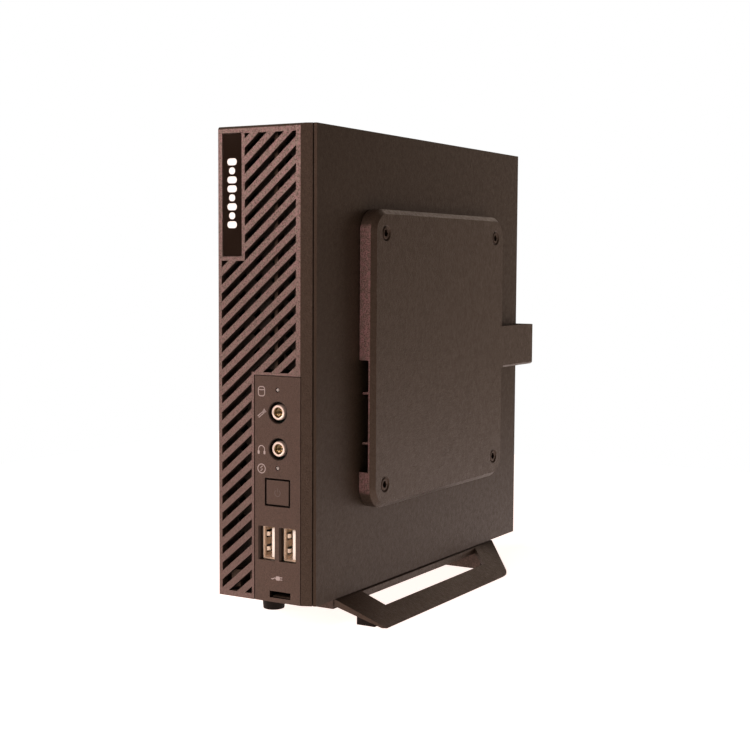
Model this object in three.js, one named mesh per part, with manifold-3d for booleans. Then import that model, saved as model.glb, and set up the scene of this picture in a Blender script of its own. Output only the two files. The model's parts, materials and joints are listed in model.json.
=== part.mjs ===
// Slim upright mini PC: folded steel case, slotted front bezel, screwed-on side tray and outrigger stand.
//
// Units are millimetres, +Z is up and the front faces -Y. Every piece is drawn in the case's own frame,
// whose zero is the case's lower front left corner: X runs right, Y runs back and Z runs up. One group
// then stands the whole computer on the desk, centred on the origin.

import * as THREE from 'three';
import { mergeVertices } from 'three/addons/utils/BufferGeometryUtils.js';
import Module from 'manifold-3d';

const kernel = await Module();
kernel.setup();

// ---- Driving dimensions ----------------------------------------------------------------------------

const CASE = { width: 46.8, depth: 195, height: 195 };
const FOOT_HEIGHT = 12;
const OVERALL = { width: 66.4, depth: 199.6 };
const SHEET = 1;
const GAP = 0.3;

const BEZEL = { depth: 9.7, wall: 2.5, side: 2, flat: 40.75, seamX: 45.2, seamY: 2, seam: 0.5 };
const BEVEL = { x: CASE.width, y: 2.7 };
const SLOT = { pitch: 7.065, height: 3.5, rise: 0.85, first: 3.08, below: 5, above: 27 };
const VENT = {
  left: 1.75, notch: 13.5, split: 16.9, right: 38.6,
  low: 2.3, panel: 94.8, label: 140.2, top: 192,
};
const EDGE = { left: 0.25, top: 2 };
const STIFFENER = { x: [26.8, 28.4], depth: 6.5 };
const CLIPS = [[[5, 9.5], [4, 11]], [[14.5, 17.5], [5, 12]]];
const LABEL = { x: [2.2, 12], z: [141.9, 192.3], depth: 0.9 };
const PANEL = { x: [18.3, 40.75], z: [0, 93.4], front: 0.15, depth: 2.2 };
const PANEL_SLOT = { x: [25.7, 36], z: [1.8, 4.6] };

const BUTTON = { x: 29.55, z: 45.6, width: 11.1, height: 10.2, travel: 0.8, clearance: 0.7 };
const JACKS = { microphone: [29.7, 78.6], headphone: [29.9, 63.6] };
const JACK = { collar: 3.15, bore: 1.8, hole: 4.4, rim: 0.35, body: 7 };
const LIGHTS = { drive: [29.6, 87.85], power: [29.6, 55.7] };
const LIGHT = { radius: 0.75, hole: 1, base: 1.4 };
const USB = { x: { left: 24.2, right: 34.5 }, z: 24.2, width: 5.7, height: 13.3, wall: 0.35, front: 2.2 };
const IO_BOARD = { y: [17, 18.6], x: [19, 43], z: [4, 92] };

const TRAY = { y: 99.4, z: 98.7, size: 127.3, corner: 10, bevel: 2, top: 54.2, wall: 1.8, roof: 1.6 };
const TRAY_SCREW = { pitch: 107.2, head: 3.25, hole: 1.8, shank: 1.45, boss: 4.2, sunk: 1.7, inset: 0.25 };
const ARM = { z: [88.4, 109], bevel: 1, lip: 3, round: 1.4, end: 2 };
const WINDOW = { top: 51.5, z: [51.1, 98.75], ribs: [63.3, 84.6], rib: 0.9, ribStart: 0.5, ribLength: 14 };

const FAN = { y: 131, z: 80, size: 70, depth: [24.4, 39.4], bore: 33, hub: 12, tip: 31, blades: 7 };
const BOARD = { x: [6.2, 7.8], y: [21.5, 191.5], z: [12.5, 182.5] };
const BOARD_HOLES = [[26.4, 18.85], [26.4, 176.33], [181.34, 18.85], [181.34, 176.33]];

const SHIELD = { x: [6.3, 32.7], z: [18.4, 176.6] };
const STAND = { y: [17.5, 162.5], slab: -4.3, tipX: OVERALL.width, tipZ: -11.7, desk: -FOOT_HEIGHT };

// ---- Materials -------------------------------------------------------------------------------------

function finish(color, roughness, metalness) {
  return () => new THREE.MeshStandardMaterial({ color, roughness, metalness });
}

const paintedSteel = finish(0x352b27, 0.5, 0.25);
const grainedPlastic = finish(0x4a3c38, 0.6, 0);
const panelPlastic = finish(0x43362f, 0.5, 0);
const blackPlastic = finish(0x141211, 0.45, 0);
const glossBlack = finish(0x0b0a0a, 0.15, 0);
const plainSteel = finish(0xa8a7a3, 0.35, 1);
const brightNickel = finish(0xcfc9c0, 0.2, 1);
const whitePlastic = finish(0xe6e1d8, 0.4, 0);
const clearLens = finish(0xb8b4ae, 0.15, 0);
const blackRubber = finish(0x0e0e0e, 0.9, 0);
const boardGreen = finish(0x16402c, 0.5, 0);
const aluminium = finish(0xb9bbbd, 0.35, 1);

// ---- Solid helpers ---------------------------------------------------------------------------------

// A closed three.js geometry as a solid: shared corners are merged and collapsed triangles dropped.
function toSolid(geometry) {
  const shape = geometry.clone();
  shape.deleteAttribute('normal');
  shape.deleteAttribute('uv');
  const merged = mergeVertices(shape, 1e-4);
  const corners = merged.index.array;
  const kept = [];
  for (let i = 0; i < corners.length; i += 3) {
    const [a, b, c] = corners.slice(i, i + 3);
    if (a !== b && b !== c && c !== a) kept.push(a, b, c);
  }
  const vertProperties = new Float32Array(merged.attributes.position.array);
  return new kernel.Manifold(
    new kernel.Mesh({ numProp: 3, vertProperties, triVerts: new Uint32Array(kept) }));
}

const join = (first, ...others) => others.reduce((sum, other) => sum.add(other), first);
const cut = (first, ...others) => others.reduce((rest, other) => rest.subtract(other), first);

// A rectangular block from three [low, high] ranges.
function block([x0, x1], [y0, y1], [z0, z1]) {
  const geometry = new THREE.BoxGeometry(x1 - x0, y1 - y0, z1 - z0);
  geometry.translate((x0 + x1) / 2, (y0 + y1) / 2, (z0 + z1) / 2);
  return toSolid(geometry);
}

// For each axis, where an outline's own X, Y and thickness directions point:
// an outline across X is drawn as (y, z), across Y as (x, z) and across Z as (x, y).
const PLANES = {
  x: [[0, 1, 0], [0, 0, 1], [1, 0, 0]],
  y: [[1, 0, 0], [0, 0, 1], [0, -1, 0]],
  z: [[1, 0, 0], [0, 1, 0], [0, 0, 1]],
};

function shapeOf(outline) {
  if (outline instanceof THREE.Shape) return outline;
  return new THREE.Shape(outline.map(([u, v]) => new THREE.Vector2(u, v)));
}

// An outline across an axis, filled between two places along that axis.
function prism(axis, outline, [low, high], curveSegments = 8) {
  const options = { depth: high - low, bevelEnabled: false, curveSegments };
  const geometry = new THREE.ExtrudeGeometry(shapeOf(outline), options);
  const [across, up, along] = PLANES[axis].map((direction) => new THREE.Vector3(...direction));
  const start = axis === 'y' ? high : low;
  geometry.applyMatrix4(new THREE.Matrix4().makeBasis(across, up, along));
  geometry.translate(axis === 'x' ? start : 0, axis === 'y' ? start : 0, axis === 'z' ? start : 0);
  return toSolid(geometry);
}

// A round bar or cone along an axis; centre is given in that axis's outline plane.
function round(axis, [u, v], [low, high], radius, { endRadius = radius, sides = 24 } = {}) {
  const geometry = new THREE.CylinderGeometry(endRadius, radius, high - low, sides);
  const middle = (low + high) / 2;
  if (axis === 'x') geometry.rotateZ(-Math.PI / 2);
  if (axis === 'z') geometry.rotateX(Math.PI / 2);
  if (axis === 'x') geometry.translate(middle, u, v);
  if (axis === 'y') geometry.translate(u, middle, v);
  if (axis === 'z') geometry.translate(u, v, middle);
  return toSolid(geometry);
}

function roundedRectangle(width, height, radius, [cx, cy]) {
  const [left, right] = [cx - width / 2, cx + width / 2];
  const [low, high] = [cy - height / 2, cy + height / 2];
  const shape = new THREE.Shape();
  shape.moveTo(left + radius, low);
  shape.absarc(right - radius, low + radius, radius, -Math.PI / 2, 0);
  shape.absarc(right - radius, high - radius, radius, 0, Math.PI / 2);
  shape.absarc(left + radius, high - radius, radius, Math.PI / 2, Math.PI);
  shape.absarc(left + radius, low + radius, radius, Math.PI, 1.5 * Math.PI);
  return shape;
}

const around = (centre, size) => [centre - size / 2, centre + size / 2];
const grow = ([low, high], by) => [low - by, high + by];

const computer = new THREE.Group();
computer.position.set(-OVERALL.width / 2, -OVERALL.depth / 2, FOOT_HEIGHT);

function place(name, solid, material) {
  const { vertProperties, triVerts } = solid.getMesh();
  const geometry = new THREE.BufferGeometry();
  geometry.setAttribute('position', new THREE.BufferAttribute(vertProperties, 3));
  geometry.setIndex(new THREE.BufferAttribute(triVerts, 1));
  geometry.computeVertexNormals();
  const mesh = new THREE.Mesh(geometry, material());
  mesh.name = name;
  computer.add(mesh);
}

// ---- Case: chassis, rear panel, side cover ---------------------------------------------------------

const REAR = { outer: CASE.depth - SHEET - GAP, inner: CASE.depth - 2 * SHEET - GAP };
const COVER_INNER = CASE.width - SHEET;
const COVER_CORNER = 1.2;
const LID_INNER = CASE.height - SHEET;
const LID_SCREWS = [['lid_screw_bottom', 20], ['lid_screw_top', 175]];
const LID_SCREW_X = 39.5;
const TOP_FLANGE = 12;
const REAR_FLANGE = 34;
const SCREW_CLEARANCE = 1.7;
const STANDOFF = { radius: 3, thread: 1.75 };
const REAR_VENTS = { x: [36.5, 42.5], first: 40, last: 165, pitch: 8, height: 3.5 };
const SIDE_VENTS = { rows: 4, pitch: 7, height: 3.4 };

function chassis() {
  const length = [BEZEL.depth + GAP, REAR.inner - GAP];
  const leftWall = block([0, SHEET], length, [0, LID_INNER - GAP]);
  const floor = block([0, COVER_INNER - GAP], length, [0, SHEET]);
  const topFlange = block([0, TOP_FLANGE], length, [LID_INNER - GAP - SHEET, LID_INNER - GAP]);
  let body = join(leftWall, floor, topFlange);
  for (const hole of BOARD_HOLES) {
    body = join(body, round('x', hole, [SHEET / 2, BOARD.x[0] - GAP], STANDOFF.radius, { sides: 12 }));
    body = cut(body, round('x', hole, [SHEET, BOARD.x[1]], STANDOFF.thread, { sides: 12 }));
  }
  for (const y of STAND_SCREWS.map(([, at]) => at)) {
    body = cut(body, round('z', [STAND_SCREW_X, y], [-1, 2 * SHEET], SCREW_CLEARANCE, { sides: 12 }));
  }
  return body;
}

function rearPanel() {
  const through = [REAR.inner - 1, REAR.outer + 1];
  const width = [0, CASE.width - COVER_CORNER - GAP];
  let plate = block(width, [REAR.inner, REAR.outer], [SHEET + GAP, LID_INNER - GAP]);
  plate = cut(plate, block(grow(SHIELD.x, GAP), through, grow(SHIELD.z, GAP)));
  for (let z = REAR_VENTS.first; z < REAR_VENTS.last; z += REAR_VENTS.pitch) {
    const underArm = z > ARM.z[0] - REAR_VENTS.pitch && z < ARM.z[1] + REAR_VENTS.pitch / 2;
    if (!underArm) plate = cut(plate, block(REAR_VENTS.x, through, [z, z + REAR_VENTS.height]));
  }
  for (const centre of rearScrewPlaces()) {
    plate = cut(plate, round('y', centre, through, SCREW_CLEARANCE, { sides: 12 }));
  }
  return plate;
}

function rearScrewPlaces() {
  return [...LID_SCREWS.map(([, z]) => [LID_SCREW_X, z]), [HOOK_SCREW_X, TRAY.z]];
}

// The cover is one folded sheet: a narrow front lip that carries on the bezel's bevel, the big side
// wall, a rounded rear corner with a return flange, and a lid over the top.
function sideCover() {
  const radius = COVER_CORNER;
  const corner = [CASE.width - radius, CASE.depth - radius];
  const wall = new THREE.Shape();
  wall.moveTo(BEZEL.seamX + BEZEL.seam, BEZEL.seamY + BEZEL.seam / 2);
  wall.lineTo(BEVEL.x, BEVEL.y);
  wall.lineTo(CASE.width, corner[1]);
  wall.absarc(...corner, radius, 0, Math.PI / 2);
  wall.lineTo(REAR_FLANGE, CASE.depth);
  wall.lineTo(REAR_FLANGE, CASE.depth - SHEET);
  wall.lineTo(corner[0], CASE.depth - SHEET);
  wall.absarc(...corner, radius - SHEET, Math.PI / 2, 0, true);
  wall.lineTo(COVER_INNER, BEZEL.depth);
  const lid = new THREE.Shape();
  lid.moveTo(0, BEZEL.depth + GAP);
  lid.lineTo(CASE.width - SHEET / 2, BEZEL.depth + GAP);
  lid.lineTo(CASE.width - SHEET / 2, corner[1]);
  lid.absarc(...corner, radius - SHEET / 2, 0, Math.PI / 2);
  lid.lineTo(corner[0], CASE.depth);
  lid.lineTo(0, CASE.depth);
  let sheet = join(prism('z', wall, [0, CASE.height]), prism('z', lid, [LID_INNER, CASE.height]));
  const throughSide = [COVER_INNER - 1, CASE.width + 1];
  for (const centre of trayScrewPlaces()) {
    sheet = cut(sheet, round('x', centre, throughSide, TRAY_SCREW.hole, { sides: 12 }));
  }
  for (let row = -SIDE_VENTS.rows; row <= SIDE_VENTS.rows; row += 1) {
    const rise = row * SIDE_VENTS.pitch;
    const length = 2 * Math.sqrt(FAN.bore ** 2 - rise ** 2);
    const slot = block(throughSide, around(FAN.y, length), around(FAN.z + rise, SIDE_VENTS.height));
    sheet = cut(sheet, slot);
  }
  for (const centre of rearScrewPlaces()) {
    const hole = round('y', centre, [CASE.depth - 2, CASE.depth + 1], SCREW_CLEARANCE, { sides: 12 });
    sheet = cut(sheet, hole);
  }
  return sheet;
}

function thumbscrew(z) {
  const head = round('y', [LID_SCREW_X, z], [CASE.depth + GAP, OVERALL.depth - 0.2], 4, { sides: 20 });
  const drive = block(around(LID_SCREW_X, 5), [OVERALL.depth - 1.2, OVERALL.depth], around(z, 1));
  const shank = round('y', [LID_SCREW_X, z], [REAR.inner - 4, CASE.depth + 1], 1.4, { sides: 12 });
  return join(cut(head, drive), shank);
}

// ---- Front: bezel, guard, label, input panel -------------------------------------------------------

// One slanted slot as an outline across Y; slots climb to the right at a fixed pitch.
function slotOutline(index) {
  const low = SLOT.first + SLOT.pitch * index;
  const [x0, x1] = [-10, CASE.width + 10];
  const at = (x) => low + SLOT.rise * (x - VENT.left);
  return [[x0, at(x0)], [x1, at(x1)], [x1, at(x1) + SLOT.height], [x0, at(x0) + SLOT.height]];
}

function frontBezel() {
  const top = CASE.height;
  const outline = [[EDGE.left, 0], [BEZEL.flat, 0], [BEZEL.seamX, BEZEL.seamY],
    [BEZEL.seamX, BEZEL.depth], [0, BEZEL.depth], [0, EDGE.left]];
  const inside = { x: [BEZEL.side, BEZEL.seamX - BEZEL.side], z: [BEZEL.side, top - BEZEL.side] };
  const topEdge = [[-1, top - EDGE.top], [1, top], [1, top + 1], [-1, top + 1]];
  let shell = prism('z', outline, [0, top]);
  shell = cut(shell, block(inside.x, [BEZEL.wall, BEZEL.depth + 1], inside.z));
  shell = cut(shell, prism('x', topEdge, [-1, CASE.width]));

  const ventArea = prism('y', [
    [VENT.left, VENT.low], [VENT.split, VENT.low], [VENT.split, VENT.panel], [VENT.right, VENT.panel],
    [VENT.right, VENT.top], [VENT.notch, VENT.top], [VENT.notch, VENT.label], [VENT.left, VENT.label],
  ], [-1, BEZEL.wall + 0.5]);
  for (let index = -SLOT.below; index < SLOT.above; index += 1) {
    shell = cut(shell, prism('y', slotOutline(index), [-2, BEZEL.wall + 1]).intersect(ventArea));
  }
  const behind = BEZEL.wall - GAP;
  const stiffener = block(STIFFENER.x, [behind, STIFFENER.depth], [PANEL.z[1] + 2, top - BEZEL.side / 2]);
  shell = join(shell, stiffener);
  for (const [x, z] of CLIPS) {
    shell = join(shell, block(x, [behind, BEZEL.depth - 1], z));
  }
  shell = cut(shell, block(LABEL.x, [-1, LABEL.depth], LABEL.z));
  return cut(shell, block(grow(PANEL.x, GAP), [-1, BEZEL.wall], [-1, PANEL.z[1] + GAP]));
}

const GUARD = { sheet: 0.8, rows: 24, beside: 2, across: 5, first: [5.4, 7], pitch: [8, 7.9], half: 2.7 };

// A pressed steel guard behind the bezel, open where the input panel's sockets come through.
function bezelGuard() {
  const y = [BEZEL.depth + GAP, BEZEL.depth + GAP + GUARD.sheet];
  const [left, right] = [SHEET + GAP, COVER_INNER - GAP];
  const split = PANEL.x[0] - 0.8;
  const low = SHEET + GAP;
  const high = LID_INNER - GAP - SHEET - GAP;
  const shelf = PANEL.z[1] + BEZEL.side;
  let plate = prism('y', [
    [left, low], [split, low], [split, shelf], [right, shelf], [right, high], [left, high],
  ], y);
  const { half } = GUARD;
  for (let row = 0; row < GUARD.rows; row += 1) {
    const z = GUARD.first[1] + row * GUARD.pitch[1];
    const columns = z < PANEL.z[1] + GUARD.pitch[1] ? GUARD.beside : GUARD.across;
    for (let column = 0; column < columns; column += 1) {
      const x = GUARD.first[0] + column * GUARD.pitch[0];
      const diamond = [[x - half, z], [x, z - half], [x + half, z], [x, z + half]];
      plate = cut(plate, prism('y', diamond, grow(y, 1)));
    }
  }
  return plate;
}

function inputPanel() {
  const through = [-1, PANEL.depth + 1];
  let plate = block(PANEL.x, [PANEL.front, PANEL.depth], PANEL.z);
  const rim = [PANEL.front - GAP, PANEL.front + JACK.rim];
  for (const centre of Object.values(JACKS)) {
    const mouth = round('y', centre, rim, JACK.hole + GAP + JACK.rim, { endRadius: JACK.hole, sides: 32 });
    plate = cut(plate, round('y', centre, through, JACK.hole, { sides: 32 }), mouth);
  }
  for (const centre of Object.values(LIGHTS)) {
    plate = cut(plate, round('y', centre, through, LIGHT.hole, { sides: 12 }));
  }
  const clear = 2 * BUTTON.clearance;
  plate = cut(plate, block(around(BUTTON.x, BUTTON.width + clear), through,
    around(BUTTON.z, BUTTON.height + clear)));
  for (const x of Object.values(USB.x)) {
    plate = cut(plate, socketMouth(x));
  }
  plate = cut(plate, block(PANEL_SLOT.x, through, PANEL_SLOT.z));
  for (const [, centre] of IO_BOARD_SCREWS) {
    plate = join(plate, round('y', centre, [PANEL.depth / 2, IO_BOARD.y[0] - GAP], 2, { sides: 12 }));
    plate = cut(plate, round('y', centre, [IO_BOARD.y[0] - 7, IO_BOARD.y[1]], 1.15, { sides: 12 }));
  }
  return plate;
}

// The bevelled mouth that guides a plug into its socket: a straight slot with two sloping sides.
function socketMouth(x) {
  const half = { slot: USB.width / 2 + 0.7, mouth: USB.width / 2 + 1.6 };
  const zRange = around(USB.z, USB.height + 0.8);
  const sloped = [-0.1, 0.8];
  const slope = prism('z', [
    [x - half.mouth, sloped[0]], [x + half.mouth, sloped[0]],
    [x + half.slot, sloped[1]], [x - half.slot, sloped[1]],
  ], zRange);
  return join(block(around(x, 2 * half.slot), [-1, PANEL.depth + 1], zRange), slope);
}

function powerButton() {
  const capFront = PANEL.front + 0.1;
  const flangeFront = PANEL.depth + 0.4;
  const flangeBack = PANEL.depth + 1.2;
  const lip = 3;
  const stemRadius = 1.6;
  const centre = [BUTTON.x, BUTTON.z];
  const cap = block(around(BUTTON.x, BUTTON.width), [capFront, flangeFront + GAP],
    around(BUTTON.z, BUTTON.height));
  const flange = block(around(BUTTON.x, BUTTON.width + lip), [flangeFront, flangeBack],
    around(BUTTON.z, BUTTON.height + lip));
  const stem = round('y', centre, [PANEL.depth + 1, SWITCH.plungerTip - GAP], stemRadius, { sides: 16 });
  return join(cap, flange, stem);
}

// ---- Input board behind the panel ------------------------------------------------------------------

const SWITCH = { front: 13.4, plungerTip: 12.3, size: 6, bore: 1.95, plunger: 1.7 };
const IO_BOARD_SCREWS = [['io_board_screw_1', [22.3, 71]], ['io_board_screw_2', [22.6, 10]]];

function inputBoard() {
  let board = block(IO_BOARD.x, IO_BOARD.y, IO_BOARD.z);
  for (const [, centre] of IO_BOARD_SCREWS) {
    board = cut(board, round('y', centre, grow(IO_BOARD.y, 1), 1.3, { sides: 12 }));
  }
  return board;
}

function powerSwitch() {
  const centre = [BUTTON.x, BUTTON.z];
  const body = block(around(BUTTON.x, SWITCH.size), [SWITCH.front, IO_BOARD.y[0] - GAP],
    around(BUTTON.z, SWITCH.size));
  return cut(body, round('y', centre, [SWITCH.front - 1, 15.8], SWITCH.bore, { sides: 16 }));
}

function switchPlunger() {
  return round('y', [BUTTON.x, BUTTON.z], [SWITCH.plungerTip, 14.6], SWITCH.plunger, { sides: 16 });
}

function ioBoardScrew(centre) {
  const head = round('y', centre, [IO_BOARD.y[1] + GAP, IO_BOARD.y[1] + 1.8], 2, { sides: 16 });
  return join(head, round('y', centre, [IO_BOARD.y[0] - 5, IO_BOARD.y[1] + 1], 0.95, { sides: 12 }));
}

function usbShell(x) {
  const back = IO_BOARD.y[0] - GAP;
  const outer = block(around(x, USB.width), [USB.front, back], around(USB.z, USB.height));
  const inner = block(around(x, USB.width - 2 * USB.wall), [USB.front - 1, back - USB.wall],
    around(USB.z, USB.height - 2 * USB.wall));
  let shell = cut(outer, inner);
  for (const side of [-1, 1]) {
    const window = around(USB.z + side * 3.1, 2.6);
    shell = cut(shell, block([x - USB.width, x - USB.width / 4], [USB.front + 1.6, USB.front + 6], window));
  }
  return shell;
}

const TONGUE = { base: 4.4, x: [0.5, 2.1], height: 12 };

// The insulator inside a socket: a plug-shaped base with the contact tongue standing on it.
function usbTongue(x) {
  const back = IO_BOARD.y[0] - 2 * GAP - USB.wall;
  const base = block(around(x, TONGUE.base), [back - 3, back], around(USB.z, 12));
  const tongue = block([x + TONGUE.x[0], x + TONGUE.x[1]], [USB.front + 1, back - 2],
    around(USB.z, TONGUE.height));
  return join(base, tongue);
}

function jackBody(centre) {
  const length = [PANEL.depth + 1.5, IO_BOARD.y[0] - GAP];
  const body = block(around(centre[0], JACK.body), length, around(centre[1], JACK.body));
  return cut(body, round('y', centre, [PANEL.depth, 14], JACK.bore, { sides: 20 }));
}

function jackCollar(centre) {
  const collar = round('y', centre, [0.3, PANEL.depth + 1.5 - GAP], JACK.collar);
  return cut(collar, round('y', centre, [-1, PANEL.depth + 3], JACK.bore, { sides: 20 }));
}

function lightPipe(centre) {
  const tip = round('y', centre, [0.15, PANEL.depth + 1], LIGHT.radius, { sides: 12 });
  return join(tip, round('y', centre, [PANEL.depth + 0.6, IO_BOARD.y[0] - GAP], LIGHT.base, { sides: 12 }));
}

// ---- Side tray with its arm ------------------------------------------------------------------------

const HOOK_SCREW_X = 40.4;

function trayScrewPlaces() {
  const half = TRAY_SCREW.pitch / 2;
  return [[-1, -1], [-1, 1], [1, -1], [1, 1]].map(([side, up]) => [TRAY.y + side * half, TRAY.z + up * half]);
}

// A rounded square plate whose outer edge is bevelled; it starts deep so that only one bevel is left.
function bevelledPlate(size, corner, bevel, [low, high]) {
  const depth = high - low;
  const geometry = new THREE.ExtrudeGeometry(roundedRectangle(size, size, corner, [TRAY.y, TRAY.z]), {
    depth, bevelEnabled: true, bevelThickness: bevel, bevelSize: bevel, bevelOffset: -bevel, bevelSegments: 1,
    curveSegments: 6,
  });
  const directions = PLANES.x.map((direction) => new THREE.Vector3(...direction));
  geometry.applyMatrix4(new THREE.Matrix4().makeBasis(...directions));
  geometry.translate(low, 0, 0);
  return cut(toSolid(geometry), block([low - 2 * bevel, low], [-100, 300], [-100, 300]));
}

function mountCover() {
  const base = CASE.width + GAP;
  const shell = bevelledPlate(TRAY.size, TRAY.corner, TRAY.bevel, [base, TRAY.top - TRAY.bevel]);
  const hollow = prism('x', roundedRectangle(TRAY.size - 2 * TRAY.wall, TRAY.size - 2 * TRAY.wall,
    TRAY.corner - TRAY.wall, [TRAY.y, TRAY.z]), [base - 1, TRAY.top - TRAY.roof], 6);
  let tray = cut(shell, hollow);

  const frontWall = [TRAY.y - TRAY.size / 2 - 1, TRAY.y - TRAY.size / 2 + TRAY.wall];
  tray = cut(tray, block([base - 1, WINDOW.top], frontWall, WINDOW.z));
  const ribLength = [frontWall[1] + WINDOW.ribStart, frontWall[1] + WINDOW.ribLength];
  for (const z of WINDOW.ribs) {
    tray = join(tray, block([base + GAP, TRAY.top - 1], ribLength, around(z, WINDOW.rib)));
  }
  for (const centre of trayScrewPlaces()) {
    tray = join(tray, round('x', centre, [base, TRAY.top - 1], TRAY_SCREW.boss, { sides: 20 }));
    tray = cut(tray, round('x', centre, [base - 1, TRAY.top + 1], TRAY_SCREW.hole, { sides: 16 }));
    tray = cut(tray, countersink('x', centre, TRAY.top));
  }
  return join(tray, arm());
}

// The cone that a flat screw head sinks into, opening at a face across an axis.
function countersink(axis, centre, face) {
  const reach = [face - TRAY_SCREW.sunk, face + 0.1];
  return round(axis, centre, reach, TRAY_SCREW.hole + 0.2, { endRadius: TRAY_SCREW.head + 0.4, sides: 24 });
}

// The arm runs back from the tray's face past the rear corner, and its lip hooks behind the case.
function arm() {
  const inner = CASE.width + GAP;
  const rear = OVERALL.depth;
  const outline = new THREE.Shape();
  outline.moveTo(inner, TRAY.y + TRAY.size / 2 - TRAY.wall - 0.4);
  outline.lineTo(TRAY.top, TRAY.y + TRAY.size / 2 - TRAY.bevel - 1);
  outline.lineTo(TRAY.top, rear - ARM.round);
  outline.absarc(TRAY.top - ARM.round, rear - ARM.round, ARM.round, 0, Math.PI / 2);
  outline.lineTo(REAR_FLANGE, rear);
  outline.lineTo(REAR_FLANGE, rear - ARM.lip);
  outline.lineTo(inner, rear - ARM.lip);
  let strap = prism('z', outline, ARM.z, 4);
  const edge = [[TRAY.top - ARM.bevel, ARM.z[0] - 0.1], [TRAY.top + 1, ARM.z[0] - 0.1],
    [TRAY.top + 1, ARM.z[0] + ARM.bevel + 1], [TRAY.top, ARM.z[0] + ARM.bevel]];
  strap = cut(strap, prism('y', edge, [TRAY.y + TRAY.size / 2, rear + 1]));
  const centre = [HOOK_SCREW_X, TRAY.z];
  strap = cut(strap, round('y', centre, [rear - 5, rear + 1], SCREW_CLEARANCE, { sides: 16 }));
  strap = cut(strap, countersink('y', centre, rear));
  const height = ARM.z[1] - ARM.z[0];
  const sideView = roundedRectangle(rear, height, ARM.end, [rear / 2, ARM.z[0] + height / 2]);
  return strap.intersect(prism('x', sideView, [REAR_FLANGE - 1, TRAY.top + 1], 4));
}

// A countersunk screw with a six-sided socket in its head; faces points out along its axis.
function coverScrew(centre) {
  return flatScrew('x', centre, COVER_INNER - 2, TRAY.top - TRAY_SCREW.inset);
}

function hookScrew() {
  return flatScrew('y', [HOOK_SCREW_X, TRAY.z], REAR.inner - 3, OVERALL.depth - TRAY_SCREW.inset);
}

function flatScrew(axis, centre, tip, face) {
  const { shank, head, sunk } = TRAY_SCREW;
  const cone = round(axis, centre, [face - sunk, face], shank, { endRadius: head, sides: 24 });
  const stem = round(axis, centre, [tip, face - 1], shank, { sides: 12 });
  const socket = round(axis, centre, [face - 1.2, face + 1], 1.35, { sides: 6 });
  return cut(join(cone, stem), socket);
}

// ---- Stand, pads and feet --------------------------------------------------------------------------

const FEET = [['foot_front', [5.6, 32.6]], ['foot_rear', [6.2, 150]]];
const FOOT = { top: 5.4, sole: 4.8, recess: 1.8, recessDepth: 2.5 };
const PAD_X = [51.8, 60.6];
const PADS = [['stand_pad_front', [26.5, 38]], ['stand_pad_rear', [144.8, 153.2]]];
const STAND_SCREW_X = 22;
const STAND_SCREWS = [['stand_screw_front', 45], ['stand_screw_rear', 135]];
const GUSSET = { x: [28, 49.9], y: [148.5, 151.5], low: -11.4 };
const WING = { slope: (-0.4 - STAND.tipZ) / (STAND.tipX - CASE.width), thick: 2.9 };
const wingTop = (x) => -0.4 - WING.slope * (x - CASE.width);

function stand() {
  const slabTop = -GAP - 0.1;
  const slab = block([1, CASE.width - 1], STAND.y, [STAND.slab, slabTop]);
  const section = [[40, slabTop], [CASE.width, wingTop(CASE.width)], [STAND.tipX, STAND.tipZ],
    [STAND.tipX - 2, STAND.tipZ], [CASE.width, wingTop(CASE.width) - WING.thick], [40, STAND.slab]];
  const wing = prism('y', section, [STAND.y[0], 170]);

  const plan = new THREE.Shape();
  plan.moveTo(39, STAND.y[0]);
  plan.lineTo(CASE.width, STAND.y[0] + 0.6);
  plan.lineTo(STAND.tipX, 26.7);
  plan.lineTo(STAND.tipX, 137);
  plan.quadraticCurveTo(STAND.tipX, 146.4, 63.4, 149.6);
  plan.lineTo(CASE.width, 168.2);
  plan.lineTo(45.5, 168.2);
  plan.lineTo(45.5, STAND.y[1]);
  plan.lineTo(39, STAND.y[1]);
  let base = join(slab, wing.intersect(prism('z', plan, [-20, 1])));

  const opening = [[47.4, 38.4], [56.8, 42.2], [56.8, 138.3], [47.4, 147.4]];
  base = cut(base, prism('z', opening, [-20, 1]));
  base = join(base, block(GUSSET.x, GUSSET.y, [GUSSET.low, STAND.slab + 1]));
  const bolt = { shank: 1.8, head: 3.5, sunk: 1.8 };
  for (const [, y] of STAND_SCREWS) {
    const centre = [STAND_SCREW_X, y];
    base = cut(base, round('z', centre, [-6, 1], bolt.shank, { sides: 16 }));
    base = cut(base, round('z', centre, [-6, STAND.slab + bolt.sunk], bolt.head, { sides: 20 }));
  }
  return base;
}

// A rubber pad under the wing: its top follows the wing's slope and its bottom is on the desk.
function standPad(yRange) {
  const under = (x) => wingTop(x) - WING.thick - GAP;
  const [left, right] = PAD_X;
  const corners = [
    [left, under(left)], [left, STAND.desk], [right, STAND.desk], [right, under(right)],
  ];
  return prism('y', corners, yRange);
}

function roundFoot(centre) {
  const height = [STAND.desk, STAND.slab - GAP];
  const foot = round('z', centre, height, FOOT.sole, { endRadius: FOOT.top, sides: 32 });
  const recess = [STAND.desk - 1, STAND.desk + FOOT.recessDepth];
  return cut(foot, round('z', centre, recess, FOOT.recess, { sides: 16 }));
}

function standScrew(y) {
  const centre = [STAND_SCREW_X, y];
  const head = round('z', centre, [STAND.slab - 0.2, STAND.slab + 1.5], 3, { sides: 20 });
  const shank = round('z', centre, [STAND.slab + 1, 3], 1.4, { sides: 12 });
  return cut(join(head, shank), round('z', centre, [STAND.slab - 1, STAND.slab + 1], 1.3, { sides: 6 }));
}

// ---- Inside: board, cooler, memory, drive ----------------------------------------------------------

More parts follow.
